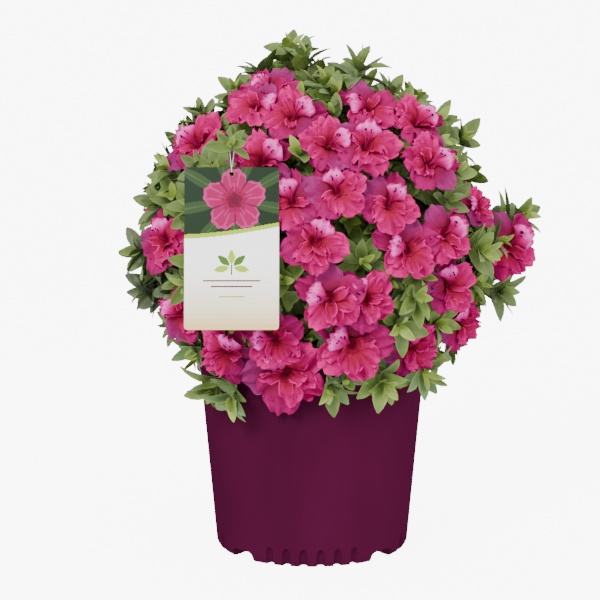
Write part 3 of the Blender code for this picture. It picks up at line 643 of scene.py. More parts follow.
def petal_slots(rng, cells, ramp, low, high, rim):
    """Tones in streaks that run out along the petal, as its veins do."""
    count = PETAL_RAMPS[ramp][0]
    streaks = [sway(rng, STREAK) for _ in range(cells)]
    margin = [rng.uniform(*PETAL_MARGIN) for _ in range(cells)]
    middles = (np.arange(cells) + 0.5) / cells
    along, aside = middles[:, None], np.abs(middles * 2.0 - 1.0)[None, :]
    share = smooth((along - 0.20) / 0.68) + streaks + 0.08 * (aside - 0.5)
    level = low + (high - low) * np.clip(share, 0.0, 1.0)
    level = np.where((along > 0.35) & (np.maximum(along, aside) > margin), rim, level)
    step = np.minimum((level * count).astype(int), count - 1)
    return PETAL_SLOT[f"{ramp}_0"] + step.ravel()


SMOOTH_PETAL = PetalKind(0.0420, 0.0350, 18.0, 94.0, 0.28, 0.0034, 0.0012, -0.003, cells=18)
OUTER_PETAL = PetalKind(0.0425, 0.0350, 16.0, 94.0, 0.30, 0.0056, 0.0018, -0.002, cells=18)
CURLED_PETAL = PetalKind(0.0410, 0.0280, 26.0, 100.0, 0.22, 0.0040, 0.0030, 0.004, twist=15.0)
DOME_PETAL = PetalKind(0.0340, 0.0310, 12.0, 84.0, 0.44, 0.0022, 0.0020, -0.009, root=0.004, cells=16)
BROAD_PETAL = PetalKind(0.0330, 0.0260, 18.0, 86.0, 0.36, 0.0058, 0.0024, -0.001, twist=30.0)
RIDGE_PETAL = PetalKind(0.0260, 0.0150, 10.0, 72.0, 0.36, 0.0038, 0.0024, 0.004, twist=50.0, cells=12)
RIDGE_ANGLES = ((70.0, 205.0), (128.0, 262.0), (75.0, 150.0, 255.0))


def bloom_shape(seed):
    """One double bloom.  Its axis is +Z, and its domed pale petaloid stands towards +Y.

    Two smooth petals stand on one side of the dome, one of them in purple tones that are a painted
    reflection of the sky, and ruffled hot ones on the other.
    """
    rng = random.Random(seed)
    heap = Heap()
    side = -1.0 if seed % 2 else 1.0

    def place(kind, angle, jitter, ramp, low, high, rim):
        turned = 90.0 - side * (angle + rng.uniform(-jitter, jitter))
        heap.add(petal(rng, kind, turned, ramp, low, high, rim))

    # Painted reflection: this smooth petal's purple tones stand in for the sky's sheen on it.
    place(SMOOTH_PETAL, 72.0, 6.0, "violet_sheen", 0.1, 0.9, 0.9)
    place(SMOOTH_PETAL, 138.0, 6.0, "rose", 0.1, 0.9, 0.8)
    place(OUTER_PETAL, 212.0, 6.0, "hot", 0.1, 0.75, 0.85)
    place(OUTER_PETAL, 286.0, 6.0, "hot", 0.1, 0.85, 0.95)
    place(CURLED_PETAL, 10.0, 8.0, "rose", 0.1, 0.7, 0.95)
    place(BROAD_PETAL, 172.0, 12.0, "hot", 0.0, 0.90, 0.99)
    place(BROAD_PETAL, 236.0, 12.0, "hot", 0.0, 0.75, 0.90)
    place(BROAD_PETAL, 296.0, 12.0, "hot", 0.0, 0.85, 0.99)
    if rng.random() < 0.5:
        place(BROAD_PETAL, 100.0, 12.0, "rose", 0.0, 0.8, 0.9)
    place(DOME_PETAL, -8.0, 6.0, "pale", 0.0, 0.99, 0.50)
    for angle in rng.choice(RIDGE_ANGLES):
        place(RIDGE_PETAL, angle, 16.0, "hot", 0.0, 0.80, 0.95)
    add_stamens(heap, rng)
    add_calyx(heap)
    return heap.shape()


def add_stamens(heap, rng):
    """Thin filaments with dark anthers, standing before the domed petaloid."""
    for _ in range(STAMENS):
        aside = radians(STAMEN_SIDE + sway(rng, STAMEN_FAN))
        out = Vector((cos(aside), sin(aside), 0.0))
        top = out * rng.uniform(*STAMEN_REACH) + UP * rng.uniform(*STAMEN_RISE)
        path = curve_points(UP * -THROAT_DEPTH, UP * 0.002 + out * 0.004, top, 5)
        heap.add(tube(path, [0.0004] * 5 + [0.0002], 4, PETAL_SLOT["hot_6"]))
        tip = [top - UP * 0.0004, top, top + (UP + out) * 0.0007, top + (UP + out) * 0.0012]
        heap.add(tube(tip, [0.0003, 0.0009, 0.0009, 0.0002], 5, PETAL_SLOT["anther"]))


def add_calyx(heap):
    """The funnel behind the petals, its floor, the green calyx and the flower's stalk."""
    path = [UP * z for z in (-0.029, -0.024, -0.021, -0.018, -0.014, -0.009, -0.004)]
    slots = [PETAL_SLOT["calyx"]] * 3 + [PETAL_SLOT["hot_3"]] * 2 + [PETAL_SLOT["hot_1"]]
    heap.add(tube(path, (0.0009, 0.0011, 0.0026, 0.0032, 0.0040, 0.0058, 0.0080), 12, slots))
    heap.add(tube([UP * -0.0150, UP * -0.0135], (0.0001, 0.0042), 12, PETAL_SLOT["hot_0"]))


def bud_shape(seed):
    """A closed bud: a spindle of wrapped petals in a green calyx."""
    rng = random.Random(seed)
    heap = Heap()
    heights = np.linspace(0.0, 1.0, 10)
    bend = Vector((sway(rng, BUD_BEND), sway(rng, BUD_BEND), 0.0))
    path = [UP * (h * BUD_LENGTH) + bend * h * h for h in heights]
    radii = [0.0008 + 0.0052 * sin(pi * min(h, 0.995)) ** 0.8 * (1.15 - 0.5 * h) for h in heights]

    def wrap(i, angles):
        return BUD_WRAP * heights[i] * np.cos(3.0 * angles + 5.0 * heights[i])

    slots = [PETAL_SLOT["calyx"]] * 3 + [PETAL_SLOT["hot_4"]] * 3 + [PETAL_SLOT["hot_6"]] * 3
    heap.add(tube(path, radii, 12, slots, wrap))
    return heap.shape()


# ---- Leaves ----
def leaf_shape(seed, slim=False):
    """One pointed leaf along +Y, its upper face +Z, folded at its midrib.  Slot 0 blade, 1 margin."""
    rng = random.Random(seed)
    columns = SLIM_COLUMNS if slim else LEAF_COLUMNS
    rows = SLIM_ROWS if slim else LEAF_ROWS
    u = np.array(rows)[:, None]
    v = np.array(columns)[None, :]
    half = LEAF_WIDTH / 2 * np.sin(pi * (0.015 + 0.970 * u) ** 0.92) ** 0.72 + 0.0003
    fold = rng.uniform(*LEAF_FOLD)
    curl = rng.uniform(*LEAF_CURL)
    aside = sway(rng, LEAF_SWAY)
    ripple = rng.uniform(0.0, LEAF_RIPPLE)
    x = v * half + aside * LEAF_LENGTH * u ** 2
    y = LEAF_LENGTH * (u - 0.35 * max(curl, 0.0) * u ** 3) + 0.0 * v
    wave = ripple * v * np.sin(u * 11.0 + rng.uniform(0, 6))
    z = fold * np.abs(v) * half - curl * LEAF_LENGTH * u ** 2 + wave
    points = np.stack([x, y, z], axis=-1)
    margin = (0, 0) if slim else (1, 0, 0, 1)
    faces = grid_faces(len(rows) - 1, len(columns) - 1)
    return Shape(points, faces, np.tile(margin, len(rows) - 1))


# ---- Where shoots end: the solids' tips, and finer ones ----
@dataclass
class Tip:
    """Where one shoot ends: its anchor, the way it points, and what grows there."""

    anchor: Vector
    axis: Vector
    bloom: bool = False
    size: float = 1.0
    fine: bool = False
    outer: bool = True
    share: float = 1.0

    def __post_init__(self):
        self.anchor = over_rim(self.anchor)
        self.axis = self.axis.normalized()

    @property
    def leaf_foot(self):
        """Where the leafy end of the shoot starts."""
        back = BLOOM_TUBE * self.size + BLOOM_NECK if self.bloom else LEAFY_END
        return self.anchor - self.axis * back


def crown_place(out, reach):
    """A place on the crown, which swells a little to the right at its middle height."""
    swell = RIGHT_SWELL * max(out.x, 0.0) ** 3 * (1.0 - abs(out.z))
    return CROWN_CENTRE + out * reach * (1.0 + swell)


def thinned(out, reach):
    """The reach of a common twig, shorter where the crown's outline draws in."""
    for bearing, elevation, spread, share in HOLLOWS:
        away = degrees(out.angle(heading(bearing, elevation)))
        reach *= 1.0 - share * smooth(1.0 - away / spread)
    return reach


def over_rim(anchor):
    """The anchor, moved out where it hangs so low that it has to clear the pot's rim."""
    radius = hypot(anchor.x, anchor.y)
    least = RIM_RADIUS + RIM_OVERHANG
    if anchor.z > POT_HEIGHT + RIM_OVERHANG or radius > least:
        return anchor
    return Vector((anchor.x * least / radius, anchor.y * least / radius, anchor.z))


def far_enough(place, others, spacing):
    """Whether a place keeps its spacing from all the others."""
    return all((place - other).length > spacing for other in others)


def bloom_tips():
    """Every bloom: the front ones listed, the rest spread evenly round the crown."""
    spots = list(FRONT_BLOOMS)
    taken = [heading(*spot) * BLOOM_REACH for spot in spots]
    for bearing, elevation in globe_spots(BLOOM_SPOTS, BLOOM_TURN):
        on_front = abs(bearing) < FRONT_BEARING and elevation < FRONT_ELEVATION
        place = heading(bearing, elevation) * BLOOM_REACH
        if elevation > LOWEST_BLOOM and not on_front and far_enough(place, taken, BLOOM_SPACING):
            spots.append((bearing, elevation))
            taken.append(place)
    rng = random.Random(SEED)
    tips = []
    for bearing, elevation in spots:
        out = heading(bearing, elevation)
        lean = Vector((0.0, 0.0, BLOOM_LIFT))
        if (bearing, elevation) in FRONT_BLOOMS:
            lean.y = -BLOOM_LEAN if abs(bearing) < FRONT_BEARING else -SIDE_BLOOM_LEAN
        sunk = abs(out.y) < EDGE_DEPTH and (bearing, elevation) not in FRONT_BLOOMS
        reach = BLOOM_REACH * rng.uniform(*BLOOM_REACHES) * (EDGE_SINK if sunk else 1.0)
        if sunk:
            reach = thinned(out, reach)
        size = rng.uniform(*BLOOM_SIZES) * ODD_BLOOMS.get((bearing, elevation), BLOOM_SCALE)
        tips.append(Tip(crown_place(out, reach), out + lean, bloom=True, size=size))
    return tips


def spray_tips(blooms):
    """The solids' leafy tips: the tag's twig, the long ones, and the rest between the blooms."""
    tips = [tag_tip()]
    for bearing, elevation, reach in LONG_SPRAYS:
        out = heading(bearing, elevation)
        tips.append(Tip(crown_place(out, reach), out + SIDE_LEAN * abs(out.x), size=LONG_SIZE))
    rng = random.Random(SEED + 1)
    for bearing, elevation in globe_spots(SPRAY_SPOTS, SPRAY_TURN):
        out = heading(bearing, elevation)
        anchor = crown_place(out, thinned(out, SPRAY_REACH * rng.uniform(*SPRAY_REACHES)))
        taken = [tip.anchor for tip in blooms + tips]
        if elevation > LOWEST_SPRAY and far_enough(anchor, taken, SPRAY_SPACING):
            tips.append(Tip(anchor, out))
    return tips


def fine_tips(blooms, sprays):
    """Finer leafy tips within the same reach; those near a bloom stay behind it."""
    rng = random.Random(SEED + 2)
    tips = []
    taken = [tip.anchor for tip in sprays]
    flowers = [tip.anchor for tip in blooms]

    def add(anchor, axis, size, outer=True):
        tips.append(Tip(anchor, axis, size=size, fine=True, outer=outer))
        taken.append(tips[-1].anchor)

    for bearing, elevation in globe_spots(FINE_SPOTS, FINE_TURN):
        out = heading(bearing + sway(rng, FINE_SWAY), elevation + sway(rng, FINE_SWAY))
        reach = SPRAY_REACH * rng.uniform(*(FINE_REACH if rng.random() < FULL_SHARE else LOW_REACH))
        anchor = crown_place(out, thinned(out, reach))
        if min((anchor - flower).length for flower in flowers) < BEHIND_BLOOM:
            anchor = crown_place(out, rng.uniform(*BEHIND_REACH))
        if elevation > LOWEST_SPRAY and far_enough(anchor, taken, FINE_SPACING):
            axis = out + Vector((sway(rng, AXIS_SWAY), sway(rng, AXIS_SWAY), rng.uniform(*AXIS_RISE)))
            if abs(bearing) < FRONT_BEARING:
                axis += FRONT_LEAN
            add(anchor, axis, rng.uniform(*FINE_SIZES))
    for bearing, radius, height in HANGING:
        place = heading(bearing, 0.0) * radius + UP * height
        add(place, heading(bearing, HANGING_FALL), HANGING_SIZE)
    for number in range(RIM_SPOTS):
        bearing = 360.0 * number / RIM_SPOTS + sway(rng, RIM_SWAY)
        out = heading(bearing, LOWEST_SPRAY + rng.uniform(*RIM_RISE))
        anchor = over_rim(crown_place(out, rng.uniform(*RIM_REACH)))
        if abs(out.x) > RIM_SIDE:
            anchor = crown_place(heading(bearing, SIDE_ELEVATION), rng.uniform(*SIDE_REACH))
        if far_enough(anchor, taken, RIM_SPACING):
            add(anchor, out + UP * rng.uniform(*RIM_DROOP), rng.uniform(*RIM_SIZES))
    for bearing, elevation in globe_spots(INNER_SPOTS, INNER_TURN):
        out = heading(bearing, elevation)
        anchor = crown_place(out, rng.uniform(*INNER_REACH))
        if elevation > INNER_LOWEST and far_enough(anchor, taken, FINE_SPACING):
            add(anchor, out + UP * INNER_LIFT, rng.uniform(*INNER_SIZES), outer=False)
    return tips


# ---- Hang tag's places ----
TAG_LEAN = atan2(TAG_HIGH.y - TAG_LOW.y, TAG_HIGH.z - TAG_LOW.z)
TAG_RIGHT = Vector((1.0, 0.0, 0.0))
TAG_UP = Vector((0.0, sin(TAG_LEAN), cos(TAG_LEAN)))
TAG_OUT = TAG_RIGHT.cross(TAG_UP)
TAG_WIDTH = TAG_HIGH.x - TAG_LOW.x
TAG_HEIGHT = (TAG_HIGH.z - TAG_LOW.z) / cos(TAG_LEAN)
TAG_TOP = Vector(((TAG_LOW.x + TAG_HIGH.x) / 2, TAG_HIGH.y, TAG_HIGH.z))
TAG_CLEARANCE = 0.002
BEHIND_CARD = 0.0025
OVER_CARD = 0.001
LOOP_RISE = 0.020
TAG_TWIG_END = 0.007
TAG_TWIG_SIZE = 0.7
TAG_TWIG_SHARE = 0.6


def tag_twig_place():
    """Where the tag's loop goes over its twig."""
    return TAG_TOP + TAG_UP * LOOP_RISE


def tag_tip():
    """The leafy tip of the twig that the tag's loop hangs on."""
    axis = Vector((0.0, -1.0, 0.22)).normalized()
    anchor = tag_twig_place() + axis * (TAG_TWIG_END + LEAFY_END)
    return Tip(anchor, axis, size=TAG_TWIG_SIZE, share=TAG_TWIG_SHARE)


def is_clear(place):
    """Whether a leaf may pass through a place: off the pot, its mix and the tag."""
    radius = hypot(place.x, place.y)
    if radius < RIM_RADIUS + POT_CLEARANCE and place.z < POT_HEIGHT + POT_CLEARANCE:
        return False
    offset = place - TAG_TOP
    depth = offset.dot(TAG_OUT)
    drop = -offset.dot(TAG_UP)
    aside = abs(offset.dot(TAG_RIGHT))
    before_card = depth > -BEHIND_CARD and -OVER_CARD < drop < TAG_HEIGHT + TAG_CLEARANCE
    return not (before_card and aside < TAG_WIDTH / 2 + TAG_CLEARANCE)


# ---- Limbs ----
HEADINGS = {name: heading(*aim) for name, aim in MASSES.items()}


def home_mass(place):
    """The mass whose space holds a place."""
    away = (place - FORK).normalized()
    return max(MASSES, key=lambda name: HEADINGS[name].dot(away))


def bough_path(name):
    """From inside the main stem to where the bough enters its mass, and a little on."""
    rise = MASSES[name][1]
    out = HEADINGS[name]
    stagger = BOUGH_STAGGER if MASS_NAMES.index(name) % 2 else -BOUGH_STAGGER
    if rise != UPPER_RISE:
        stagger = 0.0
    start = Vector((FORK.x, FORK.y, BOUGH_START[rise] + stagger))
    end = FORK + out * BOUGH_SHARE[rise]
    bend = start.lerp(end, 0.5) + Vector((out.x, out.y, 0.0)) * BOUGH_ARCH
    return curve_points(start, bend, end, 10)


def bark_relief(rng, depth, ridges):
    """Ridges that run along a limb and wander round it."""
    phases = [rng.uniform(0.0, tau) for _ in range(4)]

    def relief(i, angles):
        ridge = np.sin(angles * ridges + phases[0] + 0.55 * sin(i * 0.7 + phases[1]))
        plate = np.sin(angles * (ridges // 2) + i * 1.1 + phases[2]) * sin(i * 0.9 + phases[3])
        return depth * (0.6 * ridge + 0.6 * plate)
    return relief


def add_stem(heap):
    """The main stem with its root flare, sunk a little into the mix."""
    rng = random.Random(SEED + 5)
    path = []
    radii = []
    height = (STEM_FORK - STEM_FOOT).length
    flares = []
    for i in range(-2, STEM_STEPS + 3):
        t = i / STEM_STEPS
        aside = Vector((STEM_SWAY * sin(pi * t), 0.0, 0.0))
        path.append(STEM_FOOT.lerp(STEM_FORK, t) + aside)
        crown = 1.0 - 0.6 * max(t - 1.0, 0.0) * STEM_STEPS / 3
        radii.append((STEM_RADIUS + (FORK_RADIUS - STEM_RADIUS) * t) * crown)
        flares.append(ROOT_FLARE * max(0.0, 1.0 - max(t, 0.0) * height / FLARE_HEIGHT) ** 2)
    bark = bark_relief(rng, *STEM_BARK)

    def relief(i, angles):
        return flares[i] * (0.5 + 0.5 * np.cos(FLARE_LOBES * angles)) + bark(i, angles)

    heap.add(tube(path, radii, STEM_SIDES, 0, relief))


def grow_twigs(stem, tips):
    """A path from the stem to each tip; every twig leaves the nearest point that is there."""
    nodes = list(stem[1:])
    foot = stem[0]
    grown = []
    order = sorted(tips, key=lambda tip: (tip.fine, (tip.leaf_foot - foot).length))
    for tip in order:
        end = tip.leaf_foot
        start = min(nodes, key=lambda node: (end - node).length + FOOT_PULL * (node - foot).length)
        bend = end - tip.axis * (end - start).length * TWIG_BEND
        path = curve_points(start, bend, end, TWIG_STEPS)
        nodes.extend((path[2], path[4]))
        grown.append((tip, path))
    return grown


# ---- Leafy shoots ----
# Whorls of leaves, as (distance back from the leafy end's foot, count, rise in degrees, size).
BLOOM_WHORLS = ((0.000, 6, 14.0, 1.05), (0.011, 4, 0.0, 1.0))
INNER_WHORLS = ((0.002, 5, 35.0, 1.05), (0.012, 4, 15.0, 1.05))
FINE_WHORLS = ((-0.010, 3, 64.0, 0.60), (-0.004, 5, 40.0, 0.92), (0.004, 5, 22.0, 1.08),
               (0.015, 3, 8.0, 1.0))
SPRAY_WHORLS = ((-0.011, 3, 68.0, 0.66), (-0.005, 5, 46.0, 0.96), (0.004, 5, 28.0, 1.10),
                (0.015, 4, 18.0, 1.05), (0.027, 3, 22.0, 0.92), (0.038, 3, 20.0, 0.84))


def leaf_turn(radial, axis, rise, roll):
    """Columns: across the leaf, along it, and its upper face."""
    out = (radial * cos(rise) + axis * sin(rise)).normalized()
    up = (axis - out * axis.dot(out)).normalized()
    flat = out.cross(up)
    rolled = up * cos(roll) + flat * sin(roll)
    return np.array([out.cross(rolled), out, rolled]).T


def leaf_tone(tip, rng):
    """Base tone of one shoot's leaves, by its place in the crown, with painted light on the inner shoots
    and painted shade at the lower left.
    """
    # Painted light: the inner shoots, deep in the crown's shade, get pale tones that lift it.
    if not tip.outer:
        return rng.choice(("light", "young", "light"))
    away = tip.anchor - CROWN_CENTRE
    # Painted shade: the shoots at the lower left get grey and dark tones.
    if away.x < SHADED_LEFT and away.z < SHADED_TOP:
        return rng.choice(("grey", "grey", "grey", "dark"))
    if away.z < LOW_LEAVES:
        return rng.choice(("fresh", "fresh", "light"))
    return rng.choice(("light", "mid", "mid", "mid", "mid", "dark", "dark"))


class Flowers:
    """Where the blooms are, so that no leaf cuts through one."""

    def __init__(self, tips):
        self.anchors = np.array([tip.anchor for tip in tips])
        self.axes = np.array([tip.axis for tip in tips])
        self.sizes = np.array([tip.size for tip in tips])

    def is_cut_by(self, foot, end):
        """Whether a leaf from foot to end meets the petals of any bloom."""
        for share in (0.2, 0.4, 0.6, 0.8, 1.0):
            away = np.array(foot.lerp(end, share)) - self.anchors
            height = (away * self.axes).sum(axis=1)
            aside = np.sqrt(np.maximum((away ** 2).sum(axis=1) - height ** 2, 0.0))
            for reach, low, high in BLOOM_SPACES:
                if np.any((aside < reach * self.sizes) & (height > low) & (height < high)):
                    return True
        return False


def whorls_of(tip):
    """The whorls that a shoot bears."""
    if tip.bloom:
        return BLOOM_WHORLS
    if not tip.outer:
        return INNER_WHORLS
    return FINE_WHORLS if tip.fine else SPRAY_WHORLS


def add_leaves(heap, tip, kinds, flowers, budded, rng):
    """Whorls of leaves round the end of a shoot.  A bud takes the place of the steep inner ones."""
    tone = leaf_tone(tip, rng)
    side, other = across(tip.axis)
    turn = rng.uniform(0.0, tau)
    for back, count, rise, size in whorls_of(tip):
        steep = rise > STEEP_RISE
        if budded and steep:
            continue
        count = max(2, round(count * tip.share))
        for k in range(count):
            angle = turn + tau * (k + sway(rng, WHORL_SWAY)) / count
            radial = side * cos(angle) + other * sin(angle)
            foot = tip.leaf_foot - tip.axis * (back + sway(rng, LEAF_SHIFT))
            tilt = radians(rise + sway(rng, LEAF_TILT))
            scale = tip.size * size * rng.uniform(*LEAF_SIZES)
            matrix = leaf_turn(radial, tip.axis, tilt, sway(rng, LEAF_ROLL))
            leaf = Vector(matrix[:, 1]) * LEAF_LENGTH * scale
            clear = is_clear(foot + leaf) and is_clear(foot + leaf * LEAF_BELLY)
            if not clear or flowers.is_cut_by(foot, foot + leaf):
                continue
            own = tone
            if steep and tone in ("light", "fresh", "mid"):
                own = "young"
            elif rng.random() < OTHER_TONE_SHARE:
                own = rng.choice(("light", "mid", "dark"))
            base = 2 * list(LEAF_TONES).index(own)
            heap.add(rng.choice(kinds), matrix, foot, scale, (base, base + 1))
        turn += WHORL_TURN * tau / count


# ---- Building the plant ----
REGIONS = {"front_low": MASS_NAMES[:3], "back_low": MASS_NAMES[3:7],
           "front_high": MASS_NAMES[7:11], "back_high": MASS_NAMES[11:]}


def bloom_turn(tip, rng):
    """Columns: across, the domed petaloid's side, and the facing."""
    facing = tip.axis
    level = UP if abs(facing.z) < 0.92 else Vector((0.0, 1.0, 0.0))
    up = (level - facing * level.dot(facing)).normalized()
    right = up.cross(facing)
    spin = radians(rng.choice((-1.0, 1.0)) * rng.uniform(*BLOOM_SPIN))
    side = right * cos(spin) + up * sin(spin)
    return np.array([side, facing.cross(side), facing]).T


def add_twig(heap, tip, path):
    """A twig that turns from bark to green stem at its leafy end."""
    end = path[-1]
    reach = tip.anchor - (tip.axis * BLOOM_TUBE * tip.size if tip.bloom else Vector())
    places = path + [end.lerp(reach, 0.5), reach]
    root = TWIG_RADIUS + TWIG_TAPER * (end - path[0]).length * (FINE_TAPER if tip.fine else 1.0)
    radii = [*np.linspace(root, TWIG_RADIUS, TWIG_STEPS + 1), TWIG_RADIUS, TWIG_RADIUS * TWIG_END]
    slots = [0] * (len(places) - 4) + [1] * 3
    heap.add(tube(places, radii, TWIG_SIDES, slots))


def crown_tips():
    """Every shoot's end, and where the blooms are; no shoot ends inside a bloom."""
    blooms = bloom_tips()
    sprays = spray_tips(blooms)
    flowers = Flowers(blooms)
    shoots = [tip for tip in sprays + fine_tips(blooms, sprays)
              if not flowers.is_cut_by(tip.anchor - tip.axis * SHOOT_END, tip.anchor)]
    return blooms + shoots, flowers


def add_bough(limbs, twigs, name, rng):
    """A bough, and the stem of its mass, whose points it returns."""
    bough = bough_path(name)
    radii = np.linspace(BOUGH_BASE_RADIUS, BOUGH_TIP_RADIUS, len(bough))
    limbs.add(tube(bough, radii, BOUGH_SIDES, 0, bark_relief(rng, *BOUGH_BARK)))
    along = (bough[-1] - bough[-2]).normalized()
    stem = [bough[-1], bough[-1] + along * MASS_STEM_STEP]
    stem.append(stem[-1] + HEADINGS[name] * MASS_STEM_STEP)
    radii = np.linspace(BOUGH_TIP_RADIUS, MASS_STEM_END, TWIG_STEPS + 1)
    twigs.add(tube(curve_points(*stem, TWIG_STEPS), radii, MASS_STEM_SIDES, 0,
                   bark_relief(rng, *MASS_STEM_BARK)))
    return stem


def add_shoot(held, tip, path, kinds, flowers, rng):
    """A twig with its leaves, and with its bloom or bud."""
    budded = rng.random() < BUD_SHARE and tip.outer and not tip.bloom
    budded = budded and not flowers.is_cut_by(tip.anchor, tip.anchor + tip.axis * BUD_LENGTH)
    add_twig(held["twigs"], tip, path)
    add_leaves(held["leaves"], tip, kinds["leaves" if tip.outer else "slim"], flowers, budded, rng)
    if tip.bloom:
        held["blooms"].add(rng.choice(kinds["blooms"]), bloom_turn(tip, rng), tip.anchor, tip.size)
    elif budded:
        side, other = across(tip.axis)
        held["blooms"].add(rng.choice(kinds["buds"]), np.array([side, other, tip.axis]).T,
                           tip.anchor - tip.axis * BUD_SEAT, BUD_SCALE)


def grow_plant():
    """Every limb, twig, leaf and bloom, as heaps for each region."""
    tips, flowers = crown_tips()
    kinds = {"leaves": [leaf_shape(i) for i in range(LEAF_VARIANTS)],
             "slim": [leaf_shape(i, slim=True) for i in range(LEAF_VARIANTS)],
             "blooms": [bloom_shape(100 + i) for i in range(BLOOM_VARIANTS)],
             "buds": [bud_shape(200 + i) for i in range(BUD_VARIANTS)]}
    limbs = Heap()
    add_stem(limbs)
    heaps = {region: {"twigs": Heap(), "leaves": Heap(), "blooms": Heap()} for region in REGIONS}
    rng = random.Random(SEED + 3)
    for region, names in REGIONS.items():
        held = heaps[region]
        for name in names:
            stem = add_bough(limbs, held["twigs"], name, rng)
            own = [tip for tip in tips if home_mass(tip.anchor) == name]
            for tip, path in grow_twigs(stem, own):
                add_shoot(held, tip, path, kinds, flowers, rng)
    return limbs, heaps


def build_plant():
    """The pieces that replace the stem, the boughs and the masses of foliage."""
    leaf_set = leaf_finishes()
    petal_set = petal_finishes()
    bark = surface("azalea_bark", (0.120, 0.082, 0.056), 0.85, 0.45, 260.0, 0.7, 900.0, specular=0.2)
    stalk = surface("green_stalk", (0.180, 0.170, 0.060), 0.60, 0.30, 120.0, 0.3, 900.0, specular=0.3)
    limbs, heaps = grow_plant()
    stem = limbs.build("stem_and_boughs", [bark])
    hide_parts("main_stem", *(name.replace("foliage", "bough") for name in MASSES))
    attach(stem, "root")
    for region, held in heaps.items():
        for kind, finishes in (("twigs", [bark, stalk]), ("leaves", leaf_set), ("blooms", petal_set)):
            piece = held[kind].build(f"{kind}_{region}", finishes)
            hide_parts(*REGIONS[region])
            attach(piece, "root")


# ---- Pot ----
def wall_radius(height):
    """The outside of the pot's straight tapered wall."""
    slope = (RIM_RADIUS - LIP_DEPTH - FOOT_RADIUS) / (POT_HEIGHT - LIP_HEIGHT - FOOT_HEIGHT)
    return FOOT_RADIUS + slope * (height - FOOT_HEIGHT)


def pot_profile():
    """Points (radius, height) from the underside, up the wall, over the rim and down inside."""
    flute_top = FOOT_HEIGHT + FLUTE_HEIGHT
    lip_base = POT_HEIGHT - LIP_HEIGHT
    shoulder = POT_HEIGHT - RIM_ROUND
    inside = (RIM_RADIUS - 2 * LIP_HALF, wall_radius(MIX_TOP) - WALL)
    depth = (shoulder, MIX_TOP - FLOOR_DEPTH + 0.001 - RIM_ROUND)
    points = [(HUB_RADIUS, BASE_HOLLOW), (BASE_RADIUS - FOOT_RING - BASE_STEP, BASE_HOLLOW),
              (BASE_RADIUS - FOOT_RING, 0.0), (BASE_RADIUS, 0.0)]
    for swing in np.linspace(0.0, pi / 2, 9)[1:]:
        points.append((BASE_RADIUS + (FOOT_RADIUS - BASE_RADIUS) * sin(swing) ** 0.8,
                       FOOT_HEIGHT * (1.0 - cos(swing))))
    for height in np.linspace(FOOT_HEIGHT, flute_top, 15)[1:]:
        points.append((wall_radius(height), height))
    for height in np.linspace(flute_top, lip_base - 1.5 * LIP_ROUND, 13)[1:]:
        points.append((wall_radius(height), height))
    for swing in np.linspace(0.0, pi / 2, 6)[1:]:
        points.append((RIM_RADIUS - LIP_DEPTH * (1.0 - sin(swing)) * 0.9,
                       lip_base - LIP_ROUND * cos(swing)))
    for share in (0.25, 0.50, 0.75):
        points.append((RIM_RADIUS - LIP_SWELL * sin(pi * share),
                       lip_base + (shoulder - lip_base) * share))
    for swing in np.linspace(0.0, pi, 9):
        points.append((RIM_RADIUS - LIP_HALF * (1.0 - cos(swing)),
                       shoulder + RIM_ROUND * sin(swing)))
    points.extend(list(zip(np.linspace(*inside, 5), np.linspace(*depth, 5)))[1:])
    points.append((HUB_RADIUS, MIX_TOP - FLOOR_DEPTH))
    return points


def flute_dent(angle, height):
    """How deep the small arched flutes press into the foot of the wall, alike on its four sides."""
    from_middle = (degrees(angle) + 45.0) % 90.0 - 45.0
    away = radians(min(abs(from_middle - offset) for offset in FLUTE_OFFSETS))
    aside = away * FOOT_RADIUS / FLUTE_WIDTH
    above = height / (FOOT_HEIGHT + FLUTE_HEIGHT * FLUTE_ARCH)
    inside = max(0.0, 1.0 - aside ** 2 - above ** 5)
    return FLUTE_DEPTH * min(1.0, sqrt(inside * 1.25))


def build_pot():
    """The moulded pot, with its flutes and drain openings."""
    # Painted sheen: the mottle is stretched upwards into soft vertical bands of lighter and darker plum.
    # The bands stand in for the plastic's sheen, because the shader has no specular.
    plum = surface("plum_plastic", (0.048, 0.0036, 0.0205), 0.42, 0.20, 7.0, 0.05, 700.0, specular=0.0,
                   stretch=0.35)
    made = bmesh.new()
    rings = []
    for radius, height in pot_profile():
        ring = []
        for bearing in turns(POT_SIDES):
            dent = flute_dent(bearing, height) if radius >= BASE_RADIUS else 0.0
            lift = dent * FLUTE_LIFT * max(0.0, 1.0 - height / FOOT_HEIGHT)
            reach = radius - dent
            place = (reach * sin(bearing), -reach * cos(bearing), height + lift)
            ring.append(made.verts.new(place))
        rings.append(ring)
    add_skin(made, rings, (rings[0], rings[-1]))
    pot = piece_from(made, "pot_shell", [plum])
    cut_drains(pot, plum)
    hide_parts("nursery_pot")
    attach(pot, "root")


